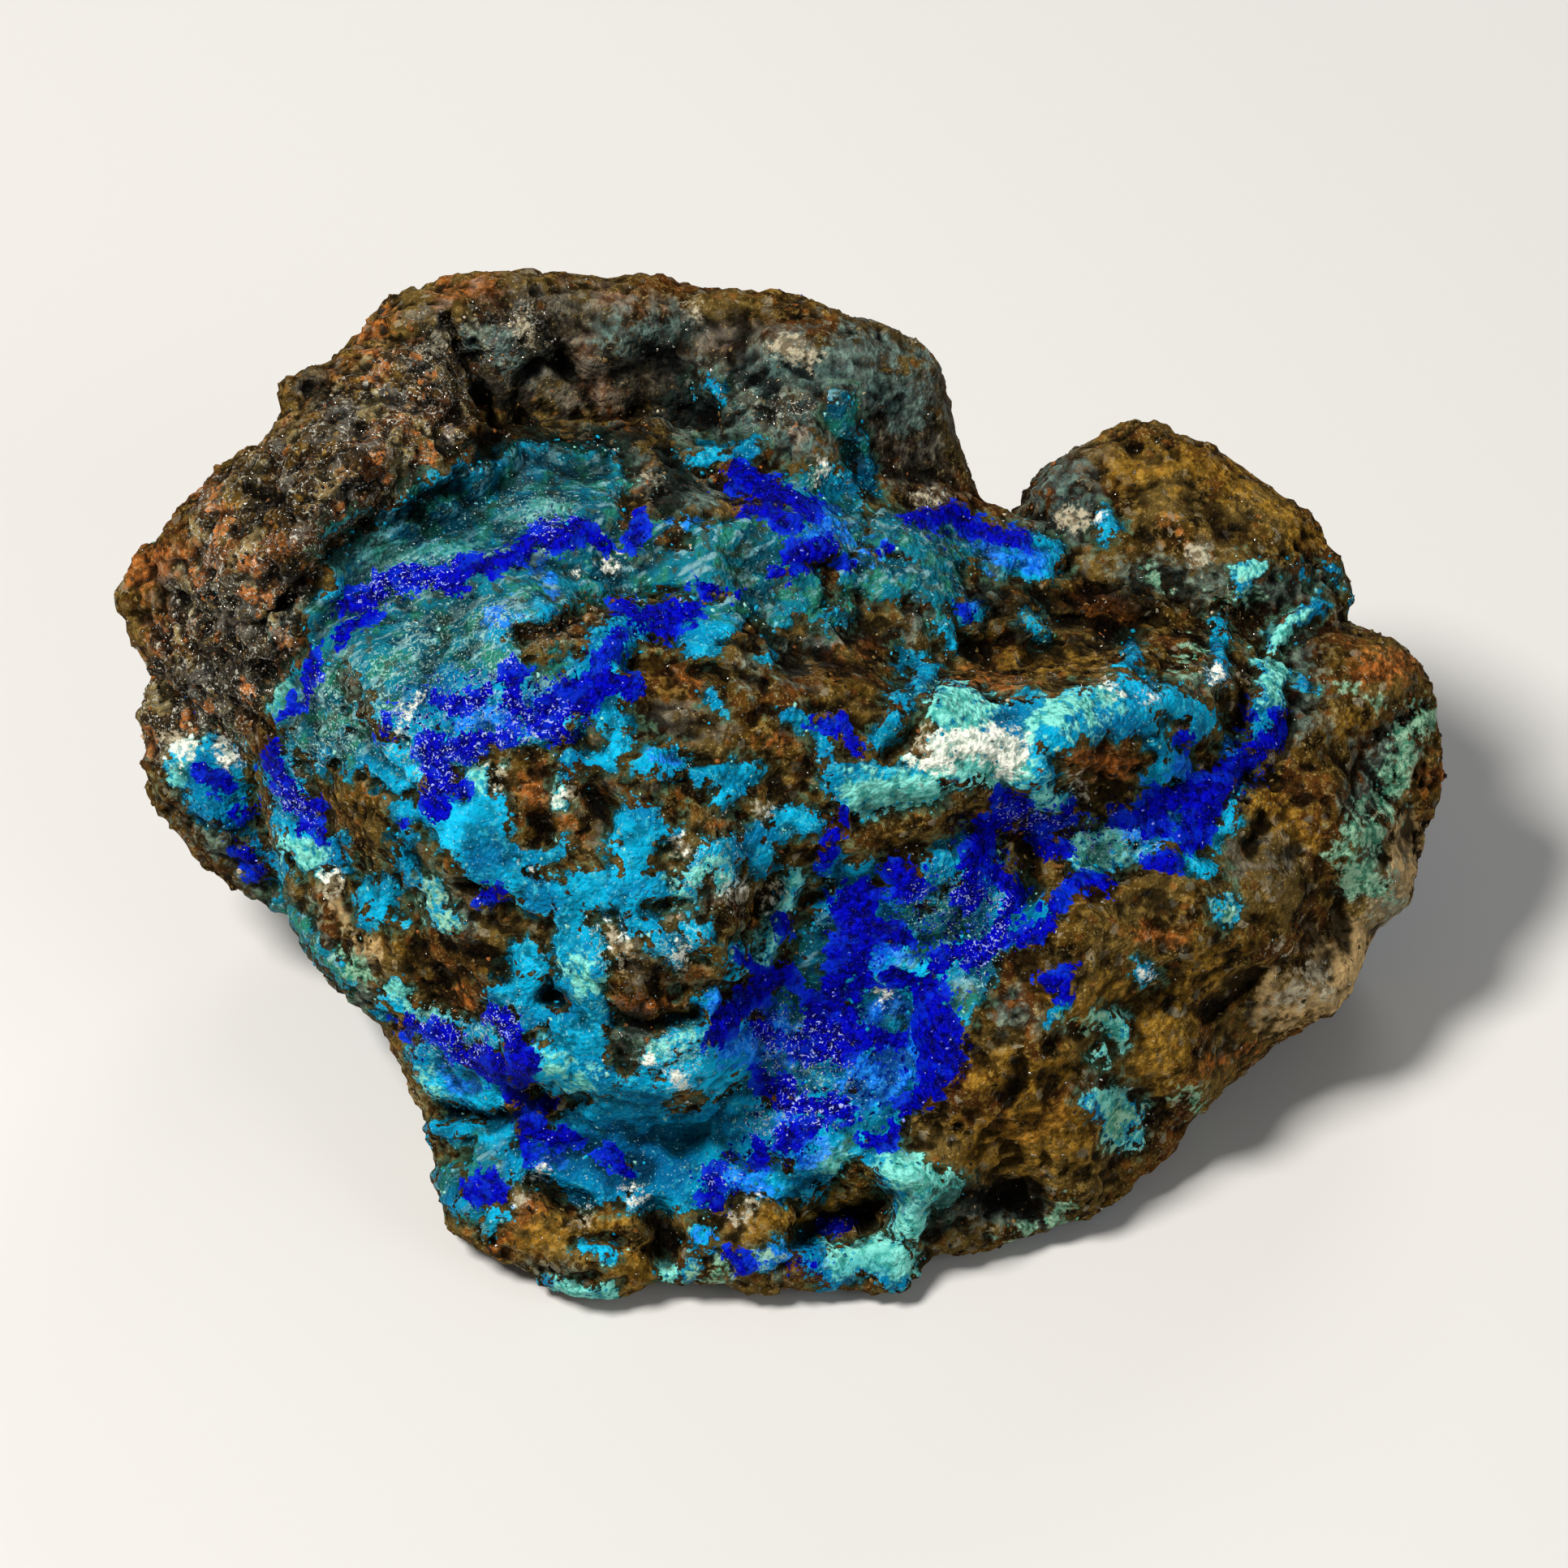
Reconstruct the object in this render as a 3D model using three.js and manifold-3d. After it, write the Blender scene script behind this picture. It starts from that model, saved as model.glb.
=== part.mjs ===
// A broken hand piece of copper ore: azurite, chrysocolla and malachite grown into brown
// limonite, all one stone. It lies on a flat fracture, with its showing side leaning back.
//
// The stone is five lumps that grew together. Each lump is drawn lying on its back: U runs
// across the showing side, V runs up it and W stands out of it, in millimetres. A lump is a
// sphere of triangles whose equator follows the lump's rim and whose two caps follow its
// front and its back. The lumps are leaned up, joined, broken off along rough fractures
// behind, and cut flat where the stone rests.
import * as THREE from "three";
import { ImprovedNoise } from "three/addons/math/ImprovedNoise.js";
import { mergeVertices } from "three/addons/utils/BufferGeometryUtils.js";
import Module from "manifold-3d";

const wasm = await Module();
wasm.setup();

// Driving dimensions, in millimetres and degrees.
const LEAN = 45; // how far the showing side turns up from lying flat
const REACH = 2.0; // how far a surveyed height spreads over the surface round it
const CHUNK = 5.5; // size of the coarse lumpiness of the broken surface
const CHUNK_HEIGHT = 0.55;
const GRIT = 2.4; // size of the finer lumpiness
const GRIT_HEIGHT = 0.3;
const BASE_CUT = 13.0; // the flat it rests on lies this far under the middle of the stone
const BLOCK = 80; // edge of the block that takes away everything past a plane
const FRACTURE_CELLS = 34; // cells along the edge of the block that a fracture takes away
const FRACTURE_ROUGHNESS = 1.4; // how much rougher a fracture is than a grown surface

// Every lump: the middle that its rim is seen from, the rim as [U, V, W] points going round,
// how full the front and back caps are (0 is a slab, 1 a lens), and heights [U, V, W] surveyed
// on the front and on the back.
const LUMPS = {
  body: {
    detail: 17,
    middle: [1, -3],
    fullness: { front: 0.4, back: 0.45 },
    rim: [
      [-19.6, 1.4, -4], [-21.5, 2.4, -4], [-22.6, 3.2, -4], [-23.3, 4.0, -4],
      [-23.8, 5.2, -3], [-24.1, 6.1, -3], [-24.9, 6.7, -3], [-24.9, 7.6, -3],
      [-24.4, 8.4, -3], [-23.2, 8.8, -4], [-22.4, 10.0, -4], [-21.0, 11.2, -5],
      [-19.8, 12.0, -5], [-17.6, 13.2, -5], [-14.0, 14.2, -5], [-10.0, 13.4, -5],
      [-5.0, 13.6, -5], [0.0, 13.2, -5], [4.0, 12.0, -5],
      [7.4, 10.6, -6], [8.7, 9.8, -6], [11.0, 10.0, -8], [16.0, 9.8, -9],
      [20.0, 8.8, -9], [21.3, 7.4, -9], [21.0, 6.2, -8], [21.9, 5.7, -8],
      [22.7, 5.8, -8], [23.5, 5.0, -8], [24.2, 3.8, -8], [24.4, 2.4, -8],
      [24.3, 1.5, -8], [24.9, 0.8, -8], [24.6, -0.4, -8], [24.0, -1.4, -8],
      [23.4, -2.3, -8], [23.7, -3.6, -7], [23.3, -4.6, -7], [22.3, -5.1, -7],
      [21.9, -6.4, -6], [21.5, -7.7, -6], [20.6, -8.4, -6], [19.2, -9.0, -6],
      [18.0, -9.8, -6], [16.5, -11.4, -5], [15.0, -12.8, -5], [13.8, -14.2, -4],
      [12.6, -15.3, -4], [11.1, -16.1, -3], [9.5, -16.8, -3], [8.0, -17.2, -2],
      [5.2, -17.5, -2], [4.8, -18.4, -1], [4.2, -18.9, 0], [3.3, -18.9, 0],
      [1.9, -18.4, 0], [0.2, -18.6, 0], [-0.8, -18.8, 0], [-2.5, -18.4, 0],
      [-4.2, -18.2, 0], [-5.0, -18.4, 0], [-6.0, -18.9, 0], [-7.2, -18.9, 0],
      [-8.6, -18.5, 0], [-9.5, -17.9, 0], [-11.0, -17.3, -1], [-12.2, -16.4, -1],
      [-12.9, -15.2, -2], [-13.1, -14.0, -2], [-13.3, -12.5, -3], [-14.0, -10.6, -3],
      [-15.0, -8.7, -3], [-16.6, -7.3, -3], [-17.6, -6.0, -3], [-18.2, -4.6, -4],
      [-18.9, -2.4, -4], [-19.4, 0.0, -4],
    ],
    front: [
      // the slope above the ridge, up to the crease under the back wall
      [-17.4, 5.5, 6.8], [-15.8, 8.0, 6.2], [-13.0, 10.0, 5.2], [-10.0, 11.6, 4.0],
      [-6.5, 12.4, 2.6], [-2.5, 12.4, 1.2], [1.5, 11.6, 0.8], [5.0, 10.4, 0.0],
      [8.0, 9.4, -1.6], [12.0, 9.0, -3.6], [17.0, 8.6, -4.6], [-12.5, 7.0, 7.6],
      [-8.0, 9.0, 6.6], [-4.0, 9.4, 5.6], [0.0, 9.0, 4.4], [4.0, 8.2, 2.8], [8.0, 7.6, 0.8],
      // the brown left end, which the hood lies on
      [-24.2, 7.4, 0.2], [-22.4, 8.8, 2.4], [-22.6, 5.0, 2.2], [-20.6, 6.6, 4.8],
      [-20.8, 3.6, 3.8], [-18.9, 5.2, 6.4], [-18.8, 2.6, 5.4], [-18.4, 8.6, 5.8],
      [-20.2, 10.0, 4.0], [-16.6, 11.0, 4.6], [-14.0, 12.6, 3.4],
      // the crevice of brown ore under the slope
      [-4.5, 6.8, 5.8], [0.5, 6.0, 5.0], [4.5, 5.6, 3.4], [8.5, 5.4, 1.6], [12.5, 5.8, -0.2],
      [16.0, 6.2, -1.8],
      // the ridge that stands nearest, and the pale ledge that carries it on
      [-17.2, 1.8, 6.4], [-14.2, 3.2, 9.0], [-10.0, 4.4, 9.4], [-6.0, 4.4, 9.0],
      [-2.0, 3.4, 9.0], [2.0, 2.2, 8.0], [5.5, 1.4, 8.2], [9.0, 2.0, 7.4], [12.5, 3.2, 5.6],
      [15.5, 3.6, 3.2],
      // the mottled bulge
      [-18.2, -1.5, 4.4], [-16.6, -4.0, 5.2], [-14.0, -0.8, 8.8], [-10.5, -1.5, 9.8],
      [-6.5, -0.8, 9.8], [-3.0, -1.5, 9.4], [-14.4, -6.2, 5.6], [-10.5, -5.5, 8.6],
      [-6.5, -5.5, 9.4], [-3.0, -5.2, 8.8], [-12.8, -8.6, 5.0], [-9.0, -9.0, 7.4],
      [-5.4, -9.8, 7.6], [-2.8, -8.6, 7.0], [-9.6, -10.2, 6.2], [-5.8, -11.0, 6.6],
      // the hollow under the bulge
      [-11.5, -11.6, 3.0], [-8.5, -12.8, 2.2], [-5.5, -13.4, 1.6], [-3.0, -13.8, 1.8],
      [-11.2, -14.4, 2.6], [-7.0, -14.8, 2.4], [-3.0, -15.2, 2.6], [2.6, -16.3, 0.6],
      // the lip below the hollow
      [-10.8, -16.0, 3.4], [-8.0, -17.0, 4.2], [-5.0, -17.2, 3.8], [-1.8, -17.4, 4.2],
      [1.4, -17.8, 3.6], [4.0, -18.2, 3.0],
      // the long blue valley
      [-0.2, -1.6, 7.4], [0.4, -5.0, 4.6], [-0.6, -8.4, 4.0], [-0.6, -11.8, 3.0],
      [3.0, -5.0, 4.4], [2.8, -9.0, 3.6], [2.6, -12.6, 3.0], [6.2, -6.0, 3.8],
      [5.0, -2.4, 5.8], [8.0, -2.8, 4.2], [11.6, -1.8, 2.8], [15.2, -0.8, 2.0],
      [17.6, 2.0, 0.8], [18.8, 5.2, -1.4],
      // the rounded brown flank on the right
      [7.6, -9.6, 5.4], [10.4, -6.0, 5.6], [14.0, -4.6, 5.0], [10.4, -12.6, 4.0],
      [14.0, -9.0, 3.4], [17.4, -5.0, 3.2], [19.6, -1.4, 1.8], [20.8, 3.0, 0.2],
      [22.8, 1.0, -1.6], [20.6, -5.4, -0.2], [17.4, -8.8, 0.4], [13.0, -13.4, 1.0],
      [8.6, -15.4, 2.4], [5.4, -14.6, 4.4], [5.8, -16.4, 3.0],
    ],
    back: [
      [0, 0, -21], [-8, 3, -20], [-14, 2, -17], [8, 2, -20], [14, 0, -17], [19, -2, -13],
      [0, 8, -19], [-10, 9, -18], [10, 8, -18], [0, -8, -15], [-9, -8, -13],
      [10, -8, -14], [0, -15, -6], [16, 7, -16], [-10, -14, -6], [9, -14, -7],
      [-20, 6, -12], [-22, 4, -9], [-18, -3, -11], [-19, 10, -12],
    ],
  },
  hood: {
    detail: 9,
    middle: [-17.6, 10.8],
    fullness: { front: 0.42, back: 0.7 },
    rim: [
      [-23.6, 8.6, -3], [-22.4, 10.1, -4], [-21.2, 11.2, -4], [-20.0, 12.1, -4],
      [-19.0, 12.5, -4], [-18.6, 13.4, -4], [-18.2, 14.7, -4], [-17.6, 15.1, -4],
      [-16.7, 15.7, -4], [-15.8, 16.2, -4], [-14.0, 16.6, -4], [-12.3, 15.4, -4],
      [-11.3, 13.6, -2], [-11.4, 12.5, 1], [-12.8, 11.6, 3], [-14.8, 10.2, 4],
      [-16.5, 8.8, 5], [-17.8, 7.0, 5], [-19.4, 6.2, 3], [-21.4, 6.6, 1], [-23.0, 7.6, -2],
    ],
    front: [
      [-22.0, 9.0, 2.8], [-19.8, 8.2, 5.8], [-17.8, 8.2, 7.2], [-16.2, 10.0, 7.6],
      [-14.2, 11.8, 7.0], [-12.4, 13.0, 5.6], [-17.2, 12.6, 5.4], [-14.8, 14.6, 4.2],
      [-20.0, 10.8, 4.4], [-17.6, 14.4, 2.6], [-18.8, 7.0, 6.2],
    ],
    back: [[-21, 8, -12], [-16, 12, -15], [-14, 14, -15], [-19, 8, -13]],
  },
  backWall: {
    detail: 9,
    middle: [-4, 13.5],
    fullness: { front: 0.3, back: 0.6 },
    rim: [
      [-16.6, 15.6, -5], [-15.6, 16.8, -5], [-14.8, 17.8, -5], [-14.0, 18.5, -5],
      [-12.8, 18.6, -5], [-11.8, 18.9, -5], [-10.5, 19.2, -5], [-9.4, 18.8, -5],
      [-8.0, 18.9, -6], [-6.5, 18.6, -6], [-5.0, 18.9, -6], [-4.0, 18.5, -6],
      [-2.0, 18.3, -6], [0.0, 18.1, -6], [2.0, 17.7, -6], [4.0, 17.0, -6],
      [5.3, 16.2, -6], [5.9, 15.4, -6], [6.2, 13.8, -6], [6.8, 12.2, -7],
      [7.5, 10.6, -7], [7.6, 8.4, -8], [3.0, 7.0, -8], [-5.0, 7.0, -8],
      [-13.0, 9.0, -8], [-16.5, 12.5, -6],
    ],
    front: [
      [-14.0, 17.0, 0.6], [-10.5, 17.2, 0.0], [-7.0, 16.4, -0.8], [-3.0, 16.6, -1.6],
      [1.0, 16.2, -0.6], [4.0, 14.6, -1.2], [5.6, 12.0, -2.4], [-11.0, 15.0, -1.4],
      [-8.5, 13.8, -4.0], [-5.0, 13.6, -4.0], [-1.5, 13.4, -0.8], [1.5, 12.8, 0.6],
      [-12.5, 13.4, -2.0], [2.2, 14.6, 0.2], [3.6, 12.6, -1.6],
    ],
    back: [[-12, 15, -15], [-6, 15, -16], [0, 14, -17], [5, 12, -16], [-14, 11, -16]],
  },
  shoulder: {
    detail: 7,
    middle: [15, 8.6],
    fullness: { front: 0.34, back: 0.6 },
    rim: [
      [8.7, 9.4, -8], [9.0, 10.5, -9], [9.3, 11.4, -9], [10.2, 12.3, -9],
      [11.4, 13.0, -9], [12.6, 13.5, -9], [13.2, 13.9, -9], [14.2, 13.3, -9],
      [15.0, 13.0, -9], [15.9, 12.9, -9], [16.8, 12.2, -9], [18.2, 11.2, -9],
      [20.0, 10.0, -9], [20.9, 9.0, -9], [21.5, 7.9, -9], [21.6, 6.8, -9],
      [20.6, 5.4, -9], [17.0, 4.0, -9], [12.0, 4.6, -9], [9.6, 7.0, -8],
    ],
    front: [
      [10.4, 10.6, -4.0], [12.6, 11.8, -4.4], [15.6, 11.4, -4.0], [18.0, 9.6, -3.6],
      [20.2, 8.0, -4.2], [14.0, 9.0, -2.8], [17.2, 7.4, -2.6], [11.6, 8.2, -2.8],
      [17.0, 5.0, -4.0], [13.0, 6.0, -3.6],
    ],
    back: [[13, 9, -16], [18, 8, -15]],
  },
  knob: {
    detail: 5,
    middle: [-20.0, 0.2],
    fullness: { front: 0.5, back: 0.5 },
    rim: [
      [-23.4, 4.3, -8], [-24.1, 3.5, -8], [-24.4, 2.6, -8], [-24.0, 1.6, -8],
      [-24.3, 0.6, -8], [-23.8, -0.8, -8], [-22.8, -1.9, -8], [-21.9, -2.9, -8],
      [-20.9, -3.9, -8], [-19.8, -4.3, -8], [-18.2, -4.7, -8], [-15.5, -4.4, -8],
      [-14.0, 0.0, -8], [-16.0, 4.0, -8], [-20.0, 5.0, -8],
    ],
    front: [[-22.2, 1.4, -3.6], [-21.2, -1.2, -4.0], [-19.0, -2.6, -4.4], [-20.0, 2.4, -3.0]],
    back: [[-21, 0, -12], [-17, 0, -14]],
  },
};

// Fractures that broke the hidden sides. Each is the outward normal, in the stone's own frame
// as it lies, and how far it stands from the middle of the stone.
const FRACTURES = [
  { normal: [0.15, 0.98, 0.1], away: 17.9 },
  { normal: [-0.62, 0.74, -0.25], away: 20.6 },
  { normal: [0.72, 0.66, -0.2], away: 22.0 },
  { normal: [0.1, 0.62, -0.78], away: 16.6 },
  { normal: [-0.78, 0.1, -0.62], away: 21.6 },
  { normal: [0.8, -0.2, -0.56], away: 23.4 },
];

const noise = new ImprovedNoise();

// Coarse and fine lumpiness at a point, as a height in millimetres.
function roughness([u, v, w]) {
  const chunk = noise.noise(u / CHUNK + 7.3, v / CHUNK + 2.1, w / CHUNK + 4.7);
  const grit = noise.noise(u / GRIT + 1.9, v / GRIT + 8.4, w / GRIT + 3.2);
  return 2 * (CHUNK_HEIGHT * chunk + GRIT_HEIGHT * grit);
}

// The height at [u, v] as a mean of the surveyed heights, each weighted by a bell curve.
function surveyed(points, u, v) {
  let weights = 0;
  let heights = 0;
  for (const [pu, pv, pw] of points) {
    const near = Math.hypot(u - pu, v - pv) / REACH;
    const weight = Math.exp(-2 * near * near) + 1e-9 / (1 + near);
    weights += weight;
    heights += weight * pw;
  }
  return heights / weights;
}

// Where the rim lies in the direction of an angle from the middle, as its radius and height:
// the ray from the middle crosses the straight stretch of rim that spans that angle.
function rimAt(rim, [mu, mv], angle) {
  const along = [Math.cos(angle), Math.sin(angle)];
  let found = { radius: 0, height: 0 };
  rim.forEach(([au, av, aw], i) => {
    const [bu, bv, bw] = rim[(i + 1) % rim.length];
    const edge = [bu - au, bv - av];
    const across = along[0] * edge[1] - along[1] * edge[0];
    if (Math.abs(across) < 1e-9) return;
    const toward = [au - mu, av - mv];
    const share = (toward[0] * along[1] - toward[1] * along[0]) / across;
    const radius = (toward[0] * edge[1] - toward[1] * edge[0]) / across;
    if (share < 0 || share > 1 || radius < found.radius) return;
    found = { radius, height: aw + share * (bw - aw) };
  });
  return found;
}

// One lump: a unit sphere's point (x, y, z) goes to the rim's radius times its distance from
// the axis, in the direction (x, y). Its height is that of the front or the back there,
// drawn down to the rim's height as |z| to the power of the fullness.
function lumpGeometry({ detail, middle, fullness, rim, front, back }) {
  const sphere = new THREE.IcosahedronGeometry(1, detail);
  const position = sphere.getAttribute("position");
  for (let i = 0; i < position.count; i++) {
    const x = position.getX(i);
    const y = position.getY(i);
    const z = position.getZ(i);
    const edge = rimAt(rim, middle, Math.atan2(y, x));
    const u = middle[0] + edge.radius * x;
    const v = middle[1] + edge.radius * y;
    const cap = z > 0 ? surveyed(front, u, v) : surveyed(back, u, v);
    const swell = Math.abs(z) ** (z > 0 ? fullness.front : fullness.back);
    const w = edge.height + (cap - edge.height) * swell;
    const rough = roughness([u, v, w]);
    position.setXYZ(i, u - 0.3 * x * rough, v - 0.3 * y * rough, w + z * rough);
  }
  return sphere;
}

// A closed geometry as a solid of manifold-3d.
function solidOf(geometry) {
  const bare = new THREE.BufferGeometry();
  bare.setAttribute("position", geometry.getAttribute("position"));
  if (geometry.index) bare.setIndex(geometry.index);
  const merged = mergeVertices(bare, 1e-4);
  return new wasm.Manifold(
    new wasm.Mesh({
      numProp: 3,
      vertProperties: new Float32Array(merged.getAttribute("position").array),
      triVerts: new Uint32Array(merged.index.array),
    }),
  );
}

// The block that lies past a plane. The face that it leaves on the stone is flat, or is
// rough where the block's near side is a grid of cells.
function pastPlane(normal, away, cells) {
  const block = new THREE.BoxGeometry(BLOCK, BLOCK, BLOCK, cells, cells, 1);
  const position = block.getAttribute("position");
  for (let i = 0; i < position.count && cells > 1; i++) {
    const x = position.getX(i);
    const y = position.getY(i);
    const near = position.getZ(i) < 0;
    if (near) position.setZ(i, position.getZ(i) + FRACTURE_ROUGHNESS * roughness([x, y, away]));
  }
  block.translate(0, 0, BLOCK / 2 + away);
  const outward = new THREE.Vector3(...normal).normalize();
  block.applyQuaternion(
    new THREE.Quaternion().setFromUnitVectors(new THREE.Vector3(0, 0, 1), outward),
  );
  return solidOf(block);
}

function stoneGeometry() {
  const lean = new THREE.Matrix4().makeRotationX(THREE.MathUtils.degToRad(LEAN));
  let stone = null;
  for (const lump of Object.values(LUMPS)) {
    const solid = solidOf(lumpGeometry(lump).applyMatrix4(lean));
    stone = stone ? stone.add(solid) : solid;
  }
  for (const { normal, away } of FRACTURES) {
    stone = stone.subtract(pastPlane(normal, away, FRACTURE_CELLS));
  }
  stone = stone.subtract(pastPlane([0, 0, -1], BASE_CUT, 1));
  // Pinholes of air that the lumps close in between them are shells of their own: left out.
  const [whole] = stone.decompose().sort((a, b) => b.volume() - a.volume());
  const { vertProperties, triVerts } = whole.getMesh();
  const geometry = new THREE.BufferGeometry();
  geometry.setAttribute("position", new THREE.BufferAttribute(vertProperties, 3));
  geometry.setIndex(new THREE.BufferAttribute(triVerts, 1));
  geometry.computeVertexNormals();
  return geometry;
}

const geometry = stoneGeometry();
geometry.computeBoundingBox();
const middle = geometry.boundingBox.getCenter(new THREE.Vector3());

const stone = new THREE.Mesh(
  geometry,
  new THREE.MeshStandardMaterial({ color: 0x4a3a26, roughness: 0.8, metalness: 0 }),
);
stone.name = "ore_stone";
stone.position.set(-middle.x, -middle.y, BASE_CUT);

const specimen = new THREE.Group();
specimen.add(stone);

export default specimen;
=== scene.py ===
import math
from itertools import product

import bmesh
import bpy
import numpy as np
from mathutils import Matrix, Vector


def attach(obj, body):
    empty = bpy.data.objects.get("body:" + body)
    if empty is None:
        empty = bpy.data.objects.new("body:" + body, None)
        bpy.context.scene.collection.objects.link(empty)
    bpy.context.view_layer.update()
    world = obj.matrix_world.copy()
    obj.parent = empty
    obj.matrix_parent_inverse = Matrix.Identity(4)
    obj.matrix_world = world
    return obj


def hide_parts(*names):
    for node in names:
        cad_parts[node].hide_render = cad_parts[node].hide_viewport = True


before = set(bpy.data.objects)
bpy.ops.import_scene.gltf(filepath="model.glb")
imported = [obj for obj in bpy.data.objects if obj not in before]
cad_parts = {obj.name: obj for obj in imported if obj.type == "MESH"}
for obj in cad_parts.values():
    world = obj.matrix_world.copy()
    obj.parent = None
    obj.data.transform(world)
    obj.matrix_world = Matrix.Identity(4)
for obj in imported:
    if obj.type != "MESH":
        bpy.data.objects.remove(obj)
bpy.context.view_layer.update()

# --- Limonite body ------------------------------------------------------------------------
# The stone itself: brown iron ore, grown together and then broken. It is earthy and pitted,
# with small angular crags, and it carries every crust and crystal below.

MM = 0.001
LEAN = math.radians(45)  # how far the showing side turns up from lying flat
MIDDLE = np.array([0.12, -2.7, 13.0])  # middle of the showing side, in millimetres
ACROSS = np.array([1.0, 0.0, 0.0])
UP_SIDE = np.array([0.0, math.cos(LEAN), math.sin(LEAN)])
OUT_OF_SIDE = np.array([0.0, -math.sin(LEAN), math.cos(LEAN)])
SIDE_AXES = (ACROSS, UP_SIDE, OUT_OF_SIDE)
EYE = 321.25  # height above the middle that the showing side's places are sighted from
SIGHT_PLANE = -4.0  # height of the plane on which those places are measured

FINE_CELL = 0.17 * MM  # size of the cells that the stone's surface is made of
MOST_TRIANGLES = 198_000
FARTHEST = 1.5  # distance outside a mineral at which its depth stops falling
WELD = 0.001 * MM  # corners of the ore nearer than this are one

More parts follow.
